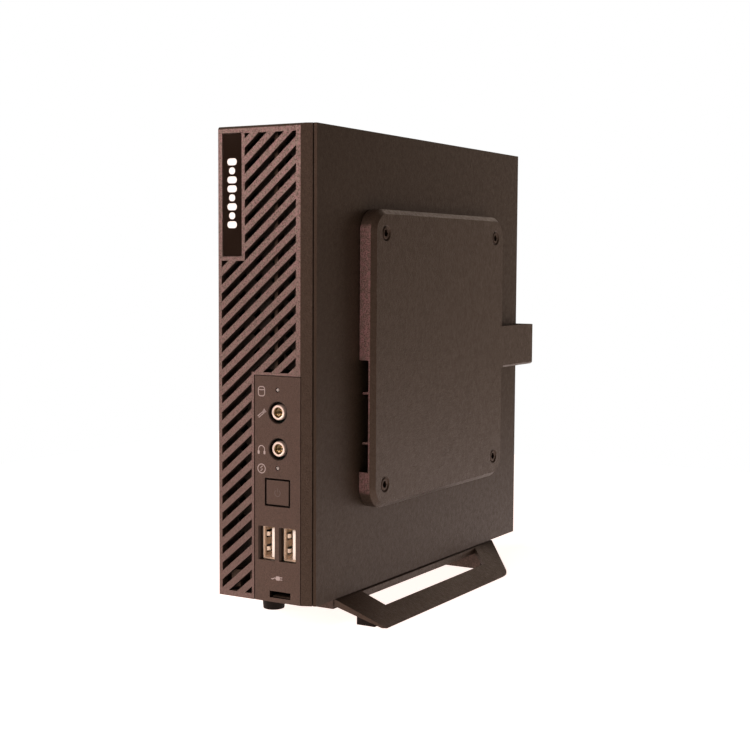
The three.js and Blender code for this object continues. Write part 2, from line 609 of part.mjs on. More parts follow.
function motherboard() {
  let board = block(BOARD.x, BOARD.y, BOARD.z);
  for (const hole of BOARD_HOLES) {
    board = cut(board, round('x', hole, grow(BOARD.x, 1), 1.9, { sides: 12 }));
  }
  return board;
}

function boardScrew(hole) {
  const head = round('x', hole, [BOARD.x[1] + GAP, BOARD.x[1] + 2.2], 2.8, { sides: 16 });
  return join(head, round('x', hole, [2.4, BOARD.x[1] + 1], 1.4, { sides: 12 }));
}

function heatsink() {
  const [y, z] = [around(FAN.y - 2, 78), around(FAN.z, 78)];
  let sink = block([9.9, 13], y, z);
  const fins = 13;
  const thickness = 1.5;
  for (let fin = 0; fin < fins; fin += 1) {
    const at = z[0] + thickness / 2 + (fin * (z[1] - z[0] - thickness)) / (fins - 1);
    sink = join(sink, block([12, FAN.depth[0] - GAP], y, around(at, thickness)));
  }
  return sink;
}

function fanFrame() {
  const square = block(FAN.depth, around(FAN.y, FAN.size), around(FAN.z, FAN.size));
  const centre = [FAN.y, FAN.z];
  let frame = cut(square, round('x', centre, grow(FAN.depth, 1), FAN.bore, { sides: 40 }));
  const hubDisc = [FAN.depth[1] - 1.8, FAN.depth[1]];
  frame = join(frame, round('x', centre, hubDisc, FAN.hub, { sides: 24 }));
  for (let arm = 0; arm < 3; arm += 1) {
    const strut = toSolid(new THREE.BoxGeometry(1.8, 2 * FAN.bore - FAN.hub, 3)
      .translate(0, FAN.bore / 2 + FAN.hub / 2 - 2, 0)
      .rotateX(0.4 + (arm * 2 * Math.PI) / 3)
      .translate(FAN.depth[1] - 0.9, FAN.y, FAN.z));
    frame = join(frame, strut.intersect(square));
  }
  frame = cut(frame, round('x', centre, [FAN.depth[1] - 3, FAN.depth[1] + 1], 1.75, { sides: 24 }));
  const hole = { offset: 30.5, radius: 1.9 };
  for (const [side, up] of [[-1, -1], [-1, 1], [1, -1], [1, 1]]) {
    const corner = [FAN.y + side * hole.offset, FAN.z + up * hole.offset];
    frame = cut(frame, round('x', corner, grow(FAN.depth, 1), hole.radius, { sides: 10 }));
  }
  return frame;
}

// Hub, shaft and curved blades; each blade's section is drawn flat and run outwards from the hub.
function fanRotor() {
  const [low, high] = [FAN.depth[0] + 1, FAN.depth[1] - 2.6];
  const centre = [FAN.y, FAN.z];
  let rotor = round('x', centre, [low, high], FAN.hub, { sides: 28 });
  rotor = join(rotor, round('x', centre, [high - 1, FAN.depth[1] - 0.2], 1.5, { sides: 24 }));
  const rise = high - low - 1;
  const section = new THREE.Shape();
  section.moveTo(-7, 0);
  section.quadraticCurveTo(-1, rise * 0.15, 7, rise);
  section.lineTo(6, rise);
  section.quadraticCurveTo(-2.4, rise * 0.3, -7.6, 0.9);
  for (let blade = 0; blade < FAN.blades; blade += 1) {
    const geometry = new THREE.ExtrudeGeometry(section, {
      depth: FAN.tip - FAN.hub + 2, bevelEnabled: false, curveSegments: 4,
    });
    const directions = [[0, 1, 0], [1, 0, 0], [0, 0, -1]].map((direction) => new THREE.Vector3(...direction));
    geometry.applyMatrix4(new THREE.Matrix4().makeBasis(...directions));
    geometry.translate(low + 0.5, 0, -(FAN.hub - 2));
    geometry.rotateX((blade * 2 * Math.PI) / FAN.blades);
    geometry.translate(0, FAN.y, FAN.z);
    rotor = join(rotor, toSolid(geometry));
  }
  return rotor;
}

function memorySocket() {
  const socket = block([8.1, 13.3], [61, 131], [141, 148]);
  return cut(socket, block([10.1, 11.7], [62, 130], [143, 149]));
}

function cellHolder() {
  const centre = [40, 160];
  const holder = round('x', centre, [8.1, 13], 11.4, { sides: 28 });
  return cut(holder, round('x', centre, [9.6, 14], 10.3, { sides: 28 }));
}

const DRIVE = { y: [22, 92], z: [90.5, 190], x: [36, 43] };

// A steel sheet that hangs from the chassis's top flange and carries the drive on its outer face.
function driveBracket() {
  const top = LID_INNER - SHEET - 2 * GAP;
  const plate = block([34.6, 35.7], grow(DRIVE.y, -2), [DRIVE.z[0] + 4, top]);
  const foot = block([3, 35.7], [40, 74], [top - SHEET, top]);
  const window = block([30, 40], [38, 76], [115, 165]);
  return join(cut(plate, window), foot);
}

function solidStateDrive() {
  const body = block(DRIVE.x, DRIVE.y, DRIVE.z);
  return cut(body, block([37.4, 41.6], [30, 64], [DRIVE.z[0] - 1, DRIVE.z[0] + 5]));
}

// ---- Rear sockets on the board ---------------------------------------------------------------------

// Each socket: its name, its height above the board, its reach along Z, and the mouths cut into it.
const PORT = { back: 178, front: REAR.outer + 0.4, base: BOARD.x[1] + GAP };
const PORTS = [
  { name: 'power_inlet', tall: 10, z: [24, 34], material: blackPlastic },
  { name: 'rear_usb_stack', tall: 15.6, z: [42, 55.2], material: brightNickel },
  { name: 'network_port', tall: 13.5, z: [63, 79], material: plainSteel },
  { name: 'display_port', tall: 6, z: [86, 101.2], material: brightNickel },
  { name: 'rear_audio_port', tall: 12, z: [150, 163], material: blackPlastic },
];

function portBody({ tall, z }) {
  return block([PORT.base, PORT.base + tall], [PORT.back, PORT.front], z);
}

function mouthsOf({ name, tall, z }) {
  const [x, middle] = [PORT.base + tall / 2, (z[0] + z[1]) / 2];
  const reach = (deep) => [PORT.front - deep, PORT.front + 1];
  const standing = [PORT.back, PORT.front - 0.8];
  if (name === 'power_inlet') {
    return [cut(round('y', [x, middle], reach(9), 2.9), round('y', [x, middle], standing, 1, { sides: 12 }))];
  }
  if (name === 'rear_usb_stack') {
    return [x - 3.9, x + 3.9].map((at) => cut(
      block(around(at, 5), reach(11), around(middle, 12.4)),
      block([at - 1.9, at - 0.1], standing, around(middle, 11))));
  }
  if (name === 'network_port') {
    return [block([PORT.base + 3.2, PORT.base + 11.2], reach(12), around(middle, 11.8)),
      block([PORT.base + 1.4, PORT.base + 3.4], reach(12), around(middle, 5))];
  }
  if (name === 'display_port') {
    return [cut(block(around(x, 4.6), reach(9), around(middle, 14)),
      block(around(x, 1.1), standing, around(middle, 11.5)))];
  }
  return [round('y', [x, middle], reach(12), 1.85, { sides: 20 })];
}

function ioShield() {
  const y = [REAR.inner + 0.1, REAR.inner + 0.8];
  let shield = block(SHIELD.x, y, SHIELD.z);
  for (const port of PORTS) {
    shield = cut(shield, block(grow([PORT.base, PORT.base + port.tall], GAP), grow(y, 1), grow(port.z, GAP)));
  }
  for (let z = 108; z < 145; z += 4) {
    shield = cut(shield, block([12, 27], grow(y, 1), [z, z + 2]));
  }
  return shield;
}

// ---- Assembly --------------------------------------------------------------------------------------

place('chassis', chassis(), paintedSteel);
place('rear_panel', rearPanel(), paintedSteel);
place('side_cover', sideCover(), paintedSteel);
for (const [name, z] of LID_SCREWS) {
  place(name, thumbscrew(z), plainSteel);
}

place('front_bezel', frontBezel(), grainedPlastic);
place('bezel_guard', bezelGuard(), plainSteel);
place('label_plate', block(grow(LABEL.x, -GAP), [0.15, LABEL.depth - 0.2], grow(LABEL.z, -GAP)), glossBlack);
place('io_panel', inputPanel(), panelPlastic);
place('power_button', powerButton(), panelPlastic);

place('front_io_board', inputBoard(), boardGreen);
place('power_switch', powerSwitch(), blackPlastic);
place('switch_plunger', switchPlunger(), blackPlastic);
for (const [name, centre] of IO_BOARD_SCREWS) {
  place(name, ioBoardScrew(centre), plainSteel);
}
for (const [side, x] of Object.entries(USB.x)) {
  place(`usb_shell_${side}`, usbShell(x), brightNickel);
  place(`usb_tongue_${side}`, usbTongue(x), whitePlastic);
}
for (const [name, centre] of Object.entries(JACKS)) {
  place(`${name}_jack`, jackBody(centre), blackPlastic);
  place(`${name}_collar`, jackCollar(centre), brightNickel);
}
for (const [name, centre] of Object.entries(LIGHTS)) {
  place(`${name}_light_pipe`, lightPipe(centre), clearLens);
}

place('mount_cover', mountCover(), grainedPlastic);
trayScrewPlaces().forEach((centre, index) => {
  place(`cover_screw_${index + 1}`, coverScrew(centre), blackPlastic);
});
place('hook_screw', hookScrew(), blackPlastic);

place('stand', stand(), grainedPlastic);
for (const [name, yRange] of PADS) {
  place(name, standPad(yRange), blackRubber);
}
for (const [name, centre] of FEET) {
  place(name, roundFoot(centre), blackRubber);
}
for (const [name, y] of STAND_SCREWS) {
  place(name, standScrew(y), plainSteel);
}

place('motherboard', motherboard(), boardGreen);
BOARD_HOLES.forEach((hole, index) => {
  place(`board_screw_${index + 1}`, boardScrew(hole), plainSteel);
});
place('processor', block([8.1, 9.6], around(FAN.y, 32), around(FAN.z, 32)), plainSteel);
place('heatsink', heatsink(), aluminium);
place('fan_frame', fanFrame(), blackPlastic);
place('fan_rotor', fanRotor(), blackPlastic);
place('memory_socket', memorySocket(), blackPlastic);
place('memory_module', block([10.4, 11.4], [62.3, 129.7], [143.3, 173]), boardGreen);
place('cell_holder', cellHolder(), blackPlastic);
place('coin_cell', round('x', [40, 160], [9.9, 13.1], 10, { sides: 28 }), plainSteel);
place('drive_bracket', driveBracket(), plainSteel);
place('solid_state_drive', solidStateDrive(), blackPlastic);

place('io_shield', ioShield(), plainSteel);
for (const port of PORTS) {
  place(port.name, cut(portBody(port), ...mouthsOf(port)), port.material);
}

export default computer;
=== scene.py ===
import json
import math

import bmesh
import bpy
from mathutils import Matrix, Vector


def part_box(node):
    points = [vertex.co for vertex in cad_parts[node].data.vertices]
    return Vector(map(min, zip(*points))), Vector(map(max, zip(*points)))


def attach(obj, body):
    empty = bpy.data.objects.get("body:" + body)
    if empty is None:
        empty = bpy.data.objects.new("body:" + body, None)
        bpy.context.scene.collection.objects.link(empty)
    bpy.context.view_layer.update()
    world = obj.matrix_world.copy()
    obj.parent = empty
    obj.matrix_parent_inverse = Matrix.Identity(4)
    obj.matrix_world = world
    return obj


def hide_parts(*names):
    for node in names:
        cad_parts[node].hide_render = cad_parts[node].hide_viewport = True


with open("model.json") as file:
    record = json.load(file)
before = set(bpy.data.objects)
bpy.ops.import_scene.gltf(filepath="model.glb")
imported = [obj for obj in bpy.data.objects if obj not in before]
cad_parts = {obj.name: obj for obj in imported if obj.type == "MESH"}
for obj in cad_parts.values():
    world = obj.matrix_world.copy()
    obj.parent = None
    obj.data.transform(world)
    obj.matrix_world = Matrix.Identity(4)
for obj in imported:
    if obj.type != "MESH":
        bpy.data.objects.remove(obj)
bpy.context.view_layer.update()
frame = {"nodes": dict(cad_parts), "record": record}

MM = 0.001
SCENE = bpy.context.scene

# The visual model of a slim upright mini PC: every CAD node gets a material and rounded edges, and the
# sockets, screws, feet and printing get detailed pieces. Sizes are millimetres unless a line says metres.

# The case's own corner, lower front left.
CASE_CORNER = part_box("front_bezel")[0]


def at(x, y, z):
    """A point in the row frame, from millimetres right, back and up of the case's corner."""
    return CASE_CORNER + Vector((x, y, z)) * MM


def centre_of(node):
    low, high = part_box(node)
    return (low + high) / 2


# ---- Node graphs for materials ------------------------------------------------------------------------

# A mix node's sockets share their names, so its colour sockets go by number.
MIX_COLORS = (6, 7)
MIX_RESULT = 2


class Graph:
    """One procedural material: textures run on object coordinates, so scales are per metre."""

    def __init__(self, name):
        self.material = bpy.data.materials.new(name)
        self.material.use_nodes = True
        self.nodes = self.material.node_tree.nodes
        self.links = self.material.node_tree.links
        self.shader = self.nodes["Principled BSDF"]
        self.point = self.nodes.new("ShaderNodeTexCoord").outputs["Object"]

    def node(self, kind, **settings):
        made = self.nodes.new(kind)
        for key, value in settings.items():
            setattr(made, key, value)
        return made

    def stretched(self, scale):
        mapping = self.node("ShaderNodeMapping")
        mapping.inputs["Scale"].default_value = scale
        self.links.new(self.point, mapping.inputs["Vector"])
        return mapping.outputs["Vector"]

    def noise(self, scale, detail=2.0, rough=0.5, stretch=None):
        """Cloudy noise about 0.5; stretch is a scale for each axis and comes before the noise's own."""
        texture = self.node("ShaderNodeTexNoise")
        texture.inputs["Scale"].default_value = scale
        texture.inputs["Detail"].default_value = detail
        texture.inputs["Roughness"].default_value = rough
        source = self.stretched(stretch) if stretch else self.point
        self.links.new(source, texture.inputs["Vector"])
        return texture.outputs["Fac"]

    def cells(self, scale, feature="F1", stretch=None):
        """Distances in a field of random cells."""
        texture = self.node("ShaderNodeTexVoronoi", feature=feature)
        texture.inputs["Scale"].default_value = scale
        source = self.stretched(stretch) if stretch else self.point
        self.links.new(source, texture.inputs["Vector"])
        return texture.outputs["Distance"]

    def remap(self, value, low, high, start=0.0, end=1.0):
        """Turns low to high into start to end, held at both ends."""
        ranged = self.node("ShaderNodeMapRange")
        self.links.new(value, ranged.inputs["Value"])
        for key, limit in zip(("From Min", "From Max", "To Min", "To Max"), (low, high, start, end)):
            ranged.inputs[key].default_value = limit
        return ranged.outputs["Result"]

    def math(self, operation, first, second):
        """An operation on two values, each a number or another node's output."""
        step = self.node("ShaderNodeMath", operation=operation)
        for socket, value in zip(step.inputs, (first, second)):
            if isinstance(value, (int, float)):
                socket.default_value = value
            else:
                self.links.new(value, socket)
        return step.outputs["Value"]

    def mix(self, factor, first, second):
        """A blend of two colours, each a tuple or another node's output."""
        mixer = self.node("ShaderNodeMix", data_type="RGBA")
        self.links.new(factor, mixer.inputs["Factor"])
        for index, value in zip(MIX_COLORS, (first, second)):
            if isinstance(value, tuple):
                mixer.inputs[index].default_value = (*value, 1.0)
            else:
                self.links.new(value, mixer.inputs[index])
        return mixer.outputs[MIX_RESULT]

    def bump(self, height, distance, after=None):
        """Relief of a given depth in millimetres, on top of an earlier relief if there is one."""
        bump = self.node("ShaderNodeBump")
        bump.inputs["Distance"].default_value = distance * MM
        self.links.new(height, bump.inputs["Height"])
        if after:
            self.links.new(after, bump.inputs["Normal"])
        return bump.outputs["Normal"]

    def axis_of(self, vector, axis):
        """One coordinate of a vector."""
        axes = self.node("ShaderNodeSeparateXYZ")
        self.links.new(vector, axes.inputs["Vector"])
        return axes.outputs[axis]

    def along(self, axis):
        """How squarely a surface looks along an axis, either way, from 0 to 1."""
        normal = self.node("ShaderNodeNewGeometry").outputs["Normal"]
        return self.math("ABSOLUTE", self.axis_of(normal, axis), 0.0)

    def facing(self, axis, low=0.93, high=0.985):
        """1 where a surface looks along an axis, either way, and 0 elsewhere."""
        return self.remap(self.along(axis), low, high)

    def finish(self, color, roughness, normal=None, **constants):
        """Links the shader, sets its constants and returns the material."""
        self.links.new(color, self.shader.inputs["Base Color"])
        if isinstance(roughness, float):
            self.shader.inputs["Roughness"].default_value = roughness
        else:
            self.links.new(roughness, self.shader.inputs["Roughness"])
        if normal:
            self.links.new(normal, self.shader.inputs["Normal"])
        for key, value in constants.items():
            self.shader.inputs[key.replace("_", " ")].default_value = value
        return self.material


WARM_GLOSS = (1.0, 0.76, 0.62, 1.0)
# Painted shade: the near-black colour given to the slots' slanted walls.
PAINTED_SLOT_SHADE = (0.004, 0.0025, 0.0015)
# Painted shade: the bezel's tints darken between these heights above the case's corner, in metres, to this at
# the foot.
PAINTED_FOOT_SHADE = {"low": 0.03, "high": 0.19, "strength": 0.8, "tint": (0.068, 0.041, 0.036)}
# A scale for each axis that stretches noise into lines drawn back to front, upright, or along the sides.
BRUSHED_BACK = (1.0, 0.06, 1.0)
BRUSHED_UP = (1.0, 1.0, 0.06)
DRAWN_SIDES = (300.0, 45.0, 2600.0)
EVEN = (1.0, 1.0, 1.0)


def darker(color, share):
    return tuple(share * part for part in color)


def grained(name, dark, light, grain, depth, rough, streaks=0.0, front=None, plain=None, skin=None,
            gloss=0.5):
    """Moulded plastic or powder coat: speckled colour over a fine pebbled surface.

    front is a pair of lighter tints speckled over surfaces that look forward or back, a painted
    highlight, and plain is the roughness that the other surfaces then have. With skin, a depth in
    metres, the painted highlight ends that far behind the front, slanted walls are nearly black with
    painted shade and the tints darken towards the foot with painted shade. streaks is the depth of
    drawn lines on the sides, which also carry a faint painted sheen.
    """
    g = Graph(name)
    speckle = g.remap(g.noise(grain, 3.0, 0.65), 0.36, 0.64)
    color = g.mix(speckle, dark, light)
    ahead = g.facing("Y") if front else None
    if skin:
        ahead, color = front_skin(g, ahead, color, skin)
    if front:
        # Painted highlight: lighter tints on surfaces that look forward or back.
        painted_glints = painted_front_glints(g, grain, dark, front)
        color = g.mix(ahead, color, with_painted_foot_shade(g, painted_glints) if skin else painted_glints)
    color = g.mix(g.remap(g.noise(14.0), 0.35, 0.65, 0.0, 0.22), color, darker(dark, 0.7))
    pebbles = g.math("MULTIPLY", g.cells(0.55 * grain), 0.7)
    normal = g.bump(g.math("ADD", pebbles, g.math("MULTIPLY", speckle, 0.5)), depth)
    if streaks:
        normal, color = drawn_lines(g, normal, color, light, streaks)
    roughness = g.remap(g.noise(0.3 * grain), 0.3, 0.7, rough - 0.05, rough + 0.07)
    if front:
        difference = g.math("MULTIPLY", g.math("SUBTRACT", 1.0, ahead), plain - rough)
        roughness = g.math("ADD", roughness, difference)
    return g.finish(color, roughness, normal, Specular_IOR_Level=gloss, Specular_Tint=WARM_GLOSS)


def front_skin(g, ahead, color, skin):
    """Ends the painted front highlight a skin's depth behind the face, and paints shade on the slots' slanted
    walls.
    """
    face = CASE_CORNER.y
    within = g.remap(g.axis_of(g.point, "Y"), face + skin, face + 1.5 * skin, 1.0, 0.0)
    # Painted shade on the slanted walls inside the slots.
    slanted = g.remap(g.math("MULTIPLY", g.along("X"), g.along("Z")), 0.2, 0.4)
    return g.math("MULTIPLY", ahead, within), g.mix(slanted, color, PAINTED_SLOT_SHADE)


def painted_front_glints(g, grain, dark, front):
    """The two front tints, speckled over the dark colour: a painted highlight."""
    tints = g.mix(g.remap(g.noise(0.6 * grain), 0.4, 0.6), *front)
    return g.mix(g.remap(g.noise(1.3 * grain, 2.0, 0.6), 0.30, 0.58), dark, tints)


def with_painted_foot_shade(g, painted_glints):
    """The front tints with painted shade, darker towards the foot."""
    low, high = CASE_CORNER.z + PAINTED_FOOT_SHADE["low"], CASE_CORNER.z + PAINTED_FOOT_SHADE["high"]
    # Painted shade: stronger the lower the point.
    foot_shade_mask = g.remap(g.axis_of(g.point, "Z"), low, high, PAINTED_FOOT_SHADE["strength"], 0.0)
    return g.mix(foot_shade_mask, painted_glints, PAINTED_FOOT_SHADE["tint"])


def drawn_lines(g, normal, color, light, depth):
    """Fine lines on the sides, as relief and as a faint painted sheen of lighter colour."""
    lines = g.noise(1.0, 4.0, 0.6, stretch=DRAWN_SIDES)
    side = g.facing("X")
    normal = g.bump(g.math("MULTIPLY", lines, side), depth, after=normal)
    # Painted sheen: the lines are lighter on faces that look sideways.
    painted_sheen = g.math("MULTIPLY", g.remap(lines, 0.35, 0.65), g.math("MULTIPLY", side, 0.35))
    return normal, g.mix(painted_sheen, color, light)


def metal(name, tint, rough, stretch, scale=700.0, wear=0.12, depth=0.004, metallic=1.0):
    """Bare or plated metal with fine drawn lines, clouded roughness and small dark marks."""
    g = Graph(name)
    lines = g.noise(scale, 5.0, 0.7, stretch=stretch)
    clouds = g.noise(120.0, 3.0)
    color = g.mix(g.remap(clouds, 0.3, 0.75, 0.0, wear), tint, darker(tint, 0.45))
    roughness = g.remap(g.math("ADD", lines, clouds), 0.6, 1.4, rough - 0.06, rough + 0.1)
    return g.finish(color, roughness, g.bump(lines, depth), Metallic=metallic)


def smooth_plastic(name, color, rough, variation=0.2):
    """Moulded plastic with soft clouds of shade and a very fine bump."""
    g = Graph(name)
    clouds = g.noise(160.0, 3.0)
    fine = g.noise(2600.0)
    tinted = g.mix(g.remap(clouds, 0.3, 0.7, 0.0, variation), color, darker(color, 0.6))
    roughness = g.remap(fine, 0.3, 0.7, rough - 0.04, rough + 0.05)
    return g.finish(tinted, roughness, g.bump(fine, 0.01))


def rubber():
    """Matt black rubber with a little dust."""
    g = Graph("rubber_pad")
    grain = g.noise(1800.0, 4.0, 0.7)
    dust = g.remap(g.noise(260.0, 4.0), 0.45, 0.8, 0.0, 0.5)
    color = g.mix(dust, (0.0035, 0.003, 0.003), (0.012, 0.009, 0.008))
    roughness = g.remap(grain, 0.3, 0.7, 0.6, 0.85)
    return g.finish(color, roughness, g.bump(grain, 0.05), Specular_IOR_Level=0.2, Specular_Tint=WARM_GLOSS)


def circuit_board():
    """Solder mask over copper tracks, with tinned pads in a loose grid."""
    g = Graph("solder_mask")
    tracks = g.remap(g.cells(170.0, "DISTANCE_TO_EDGE", stretch=(1.0, 1.0, 0.55)), 0.03, 0.06)
    mask = g.mix(tracks, (0.020, 0.115, 0.060), (0.008, 0.055, 0.028))
    pads = g.remap(g.cells(420.0), 0.12, 0.16)
    color = g.mix(pads, (0.52, 0.50, 0.44), mask)
    relief = g.bump(g.math("SUBTRACT", 1.0, tracks), 0.03)
    return g.finish(color, g.remap(pads, 0.0, 1.0, 0.3, 0.42), relief, Coat_Weight=0.4)


def label_gloss():
    """A glossy dark label with slow waves and specks of dust."""
    g = Graph("label_gloss")
    waves = g.noise(60.0, 1.0)
    dust = g.remap(g.noise(3200.0), 0.66, 0.72, 0.0, 0.25)
    color = g.mix(dust, (0.0095, 0.0052, 0.0032), (0.04, 0.03, 0.026))
    return g.finish(color, g.remap(waves, 0.3, 0.7, 0.16, 0.24), g.bump(waves, 0.02),
                    Specular_IOR_Level=0.22, Specular_Tint=WARM_GLOSS)


def clear_lens():
    """Clear plastic with a slight haze."""
    g = Graph("clear_lens")
    haze = g.noise(1500.0, 3.0)
    color = g.mix(haze, (0.50, 0.46, 0.42), (0.36, 0.32, 0.30))
    return g.finish(color, g.remap(haze, 0.3, 0.7, 0.12, 0.25), g.bump(haze, 0.01), Transmission_Weight=0.35)


def print_ink(name, color):
    """Screen-printed ink, a little thin in places."""
    g = Graph(name)
    grain = g.noise(5200.0, 3.0, 0.6)
    tinted = g.mix(g.remap(grain, 0.55, 0.75, 0.0, 0.35), color, darker(color, 0.55))
    return g.finish(tinted, g.remap(grain, 0.3, 0.7, 0.45, 0.6), g.bump(grain, 0.008))


# The front tints in these finishes are painted highlight on surfaces that look forward or back.
FINISH = {
    "case_steel": grained(
        "powder_coat", dark=(0.022, 0.0145, 0.0095), light=(0.034, 0.024, 0.016), grain=1500.0, depth=0.04,
        rough=0.42, gloss=0.29),
    "bezel_plastic": grained(
        "spark_grain_and_painted_light", dark=(0.022, 0.0145, 0.010), light=(0.036, 0.025, 0.017), grain=1700.0, depth=0.16,
        rough=0.48, front=((0.24, 0.137, 0.142), (0.185, 0.143, 0.125)), plain=0.72, skin=0.001),
    "panel_plastic": grained(
        "panel_satin_and_painted_highlight", dark=(0.006, 0.004, 0.003), light=(0.009, 0.006, 0.005), grain=3200.0, depth=0.035,
        rough=0.46, front=((0.058, 0.033, 0.026), (0.047, 0.029, 0.022)), plain=0.46),
    "cover_plastic": grained(
        "tray_grain_and_painted_light", dark=(0.020, 0.0135, 0.009), light=(0.035, 0.025, 0.018), grain=1500.0, depth=0.08,
        rough=0.48, streaks=0.02, front=((0.20, 0.105, 0.105), (0.12, 0.08, 0.072)), plain=0.42),
    "stand_metal": grained(
        "stand_coat_and_painted_highlight", dark=(0.020, 0.0135, 0.0095), light=(0.038, 0.026, 0.0185), grain=1700.0, depth=0.07,
        rough=0.48, front=((0.075, 0.045, 0.040), (0.045, 0.030, 0.026)), plain=0.44),
    "label_gloss": label_gloss(),
    "black_plastic": smooth_plastic("black_plastic", (0.010, 0.007, 0.006), 0.42),
    "bare_steel": metal("zinc_steel", (0.62, 0.60, 0.57), 0.34, BRUSHED_UP),
    "socket_nickel": metal("warm_nickel", (0.86, 0.72, 0.57), 0.3, BRUSHED_BACK, depth=0.002, metallic=0.6),
    "white_plastic": smooth_plastic("white_plastic", (0.86, 0.82, 0.75), 0.35, variation=0.08),
    "clear_lens": clear_lens(),
    "guard_steel": metal("black_phosphate", (0.060, 0.050, 0.042), 0.42, EVEN, wear=0.5, depth=0.02),
    "black_screw": metal("black_oxide", (0.075, 0.052, 0.040), 0.38, EVEN, wear=0.4),
    "rubber": rubber(),
    "circuit_board": circuit_board(),
    "aluminium": metal("extruded_aluminium", (0.78, 0.79, 0.80), 0.36, BRUSHED_BACK, scale=1100.0),
}
COLLAR = metal("satin_nickel", (0.74, 0.62, 0.54), 0.45, EVEN, depth=0.006, metallic=0.7)
BRONZE = metal("bronze_sleeve", (0.32, 0.24, 0.13), 0.34, EVEN, wear=0.5)
GOLD = metal("gold_contact", (0.83, 0.58, 0.26), 0.26, BRUSHED_BACK)
INK = print_ink("printed_grey", (0.30, 0.25, 0.235))
MARK = print_ink("printed_white", (0.95, 0.94, 0.92))
GLYPH = print_ink("moulded_glyph", (0.075, 0.050, 0.042))


# ---- Edges and shading on CAD nodes and new pieces ----------------------------------------------------

def smoothing_group(angle):
    """A node group that shades faces smooth and keeps edges over an angle sharp."""
    group = bpy.data.node_groups.new("smooth_below_angle", "GeometryNodeTree")
    for direction in ("INPUT", "OUTPUT"):
        group.interface.new_socket("Geometry", in_out=direction, socket_type="NodeSocketGeometry")
    source = group.nodes.new("NodeGroupInput")
    result = group.nodes.new("NodeGroupOutput")
    faces = group.nodes.new("GeometryNodeSetShadeSmooth")
    faces.domain = "FACE"
    edges = group.nodes.new("GeometryNodeSetShadeSmooth")
    edges.domain = "EDGE"
    turn = group.nodes.new("GeometryNodeInputMeshEdgeAngle")
    small = group.nodes.new("FunctionNodeCompare")
    small.data_type = "FLOAT"
    small.operation = "LESS_EQUAL"
    small.inputs[1].default_value = angle
    group.links.new(turn.outputs["Unsigned Angle"], small.inputs[0])
    group.links.new(source.outputs[0], faces.inputs["Geometry"])
    group.links.new(faces.outputs[0], edges.inputs["Geometry"])
    group.links.new(small.outputs["Result"], edges.inputs["Shade Smooth"])
    group.links.new(edges.outputs[0], result.inputs[0])
    return group


SMOOTHING = smoothing_group(math.radians(36))
FINE_SMOOTHING = smoothing_group(math.radians(18))
MERGE_REACH = 0.002
FLAT_WEIGHT = 80
FLAT_ANGLE = math.radians(1.0)
EDGE_ANGLE = math.radians(32)
SHALLOW_ANGLE = math.radians(18)
EDGE_SEGMENTS = 2


def smooth(obj, group=SMOOTHING):
    """Smooth shading across gentle turns only."""
    modifier = obj.modifiers.new("smoothing", "NODES")
    modifier.node_group = group


def soften(obj, width, weld=True, shallow=False):
    """Rounded edges for a faceted solid: merge corners, clear flat seams, round, then shade.

    With shallow, edges that turn by as little as a chamfer's are kept crisp too.
    """
    if weld:
        merge = obj.modifiers.new("merge", "WELD")
        merge.merge_threshold = MERGE_REACH * MM
        flat = obj.modifiers.new("flat_faces", "DECIMATE")
        flat.decimate_type = "DISSOLVE"
        flat.angle_limit = FLAT_ANGLE
    edge = obj.modifiers.new("round_edges", "BEVEL")
    edge.width = width * MM
    edge.segments = EDGE_SEGMENTS
    edge.limit_method = "ANGLE"
    edge.angle_limit = SHALLOW_ANGLE if shallow else EDGE_ANGLE
    edge.use_clamp_overlap = True
    smooth(obj, FINE_SMOOTHING if shallow else SMOOTHING)
    shading = obj.modifiers.new("face_shading", "WEIGHTED_NORMAL")
    shading.keep_sharp = True
    shading.weight = FLAT_WEIGHT


def thicken(obj, amount):
    """Gives a sheet its thickness, half to each side."""
    solid = obj.modifiers.new("thickness", "SOLIDIFY")
    solid.thickness = amount * MM
    solid.offset = 0.0
    smooth(obj)


def piece(name, mesh_data, material, body="root", stands_for=()):
    """A new object from a bmesh, riding on a body, which may replace CAD nodes."""
    mesh = bpy.data.meshes.new(name)
    bmesh.ops.recalc_face_normals(mesh_data, faces=mesh_data.faces)
    mesh_data.to_mesh(mesh)
    mesh_data.free()
    obj = bpy.data.objects.new(name, mesh)
    SCENE.collection.objects.link(obj)
    mesh.materials.append(material)
    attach(obj, body)
    if stands_for:
        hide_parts(*stands_for)
    return obj


# ---- Mesh builders ------------------------------------------------------------------------------------

# For each facing: which way is across, up and out of the surface.
FACING = {
    "front": ((1, 0, 0), (0, 0, 1), (0, -1, 0)),
    "right": ((0, 1, 0), (0, 0, 1), (1, 0, 0)),
    "rear": ((-1, 0, 0), (0, 0, 1), (0, 1, 0)),
    "down": ((1, 0, 0), (0, -1, 0), (0, 0, -1)),
}


def placer(facing, centre):
    """Turns millimetres across, up and out into a point in the row frame."""
    turn = Matrix([Vector(axis) for axis in FACING[facing]]).transposed()
    return lambda across, up, out: centre + turn @ Vector((across, up, out)) * MM


def face_of(node, facing):
    """The middle of a node's box on one side, and how far the node reaches in behind it."""
    low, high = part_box(node)
    out = Vector(FACING[facing][2])
    reach = abs((high - low).dot(out))
    return (low + high) / 2 + out * reach / 2, reach / MM


# Section shapes for turned parts: each gives the share of the radius that is reached at an angle.

KNURL = {"teeth": 36, "depth": 0.018}


def circle(angle):
    return 1.0


def hexagon(angle):
    sixth = math.pi / 3
    return 1 / math.cos((angle % sixth) - sixth / 2)


def knurl(angle):
    return 1.0 + KNURL["depth"] * math.copysign(1.0, math.sin(KNURL["teeth"] * angle))


def cross_slot(angle, arm=1.0, half=0.24):
    nearly_zero = 1e-6
    across = abs(math.cos(angle)) + nearly_zero
    up = abs(math.sin(angle)) + nearly_zero
    return max(min(arm / across, half / up), min(half / across, arm / up))


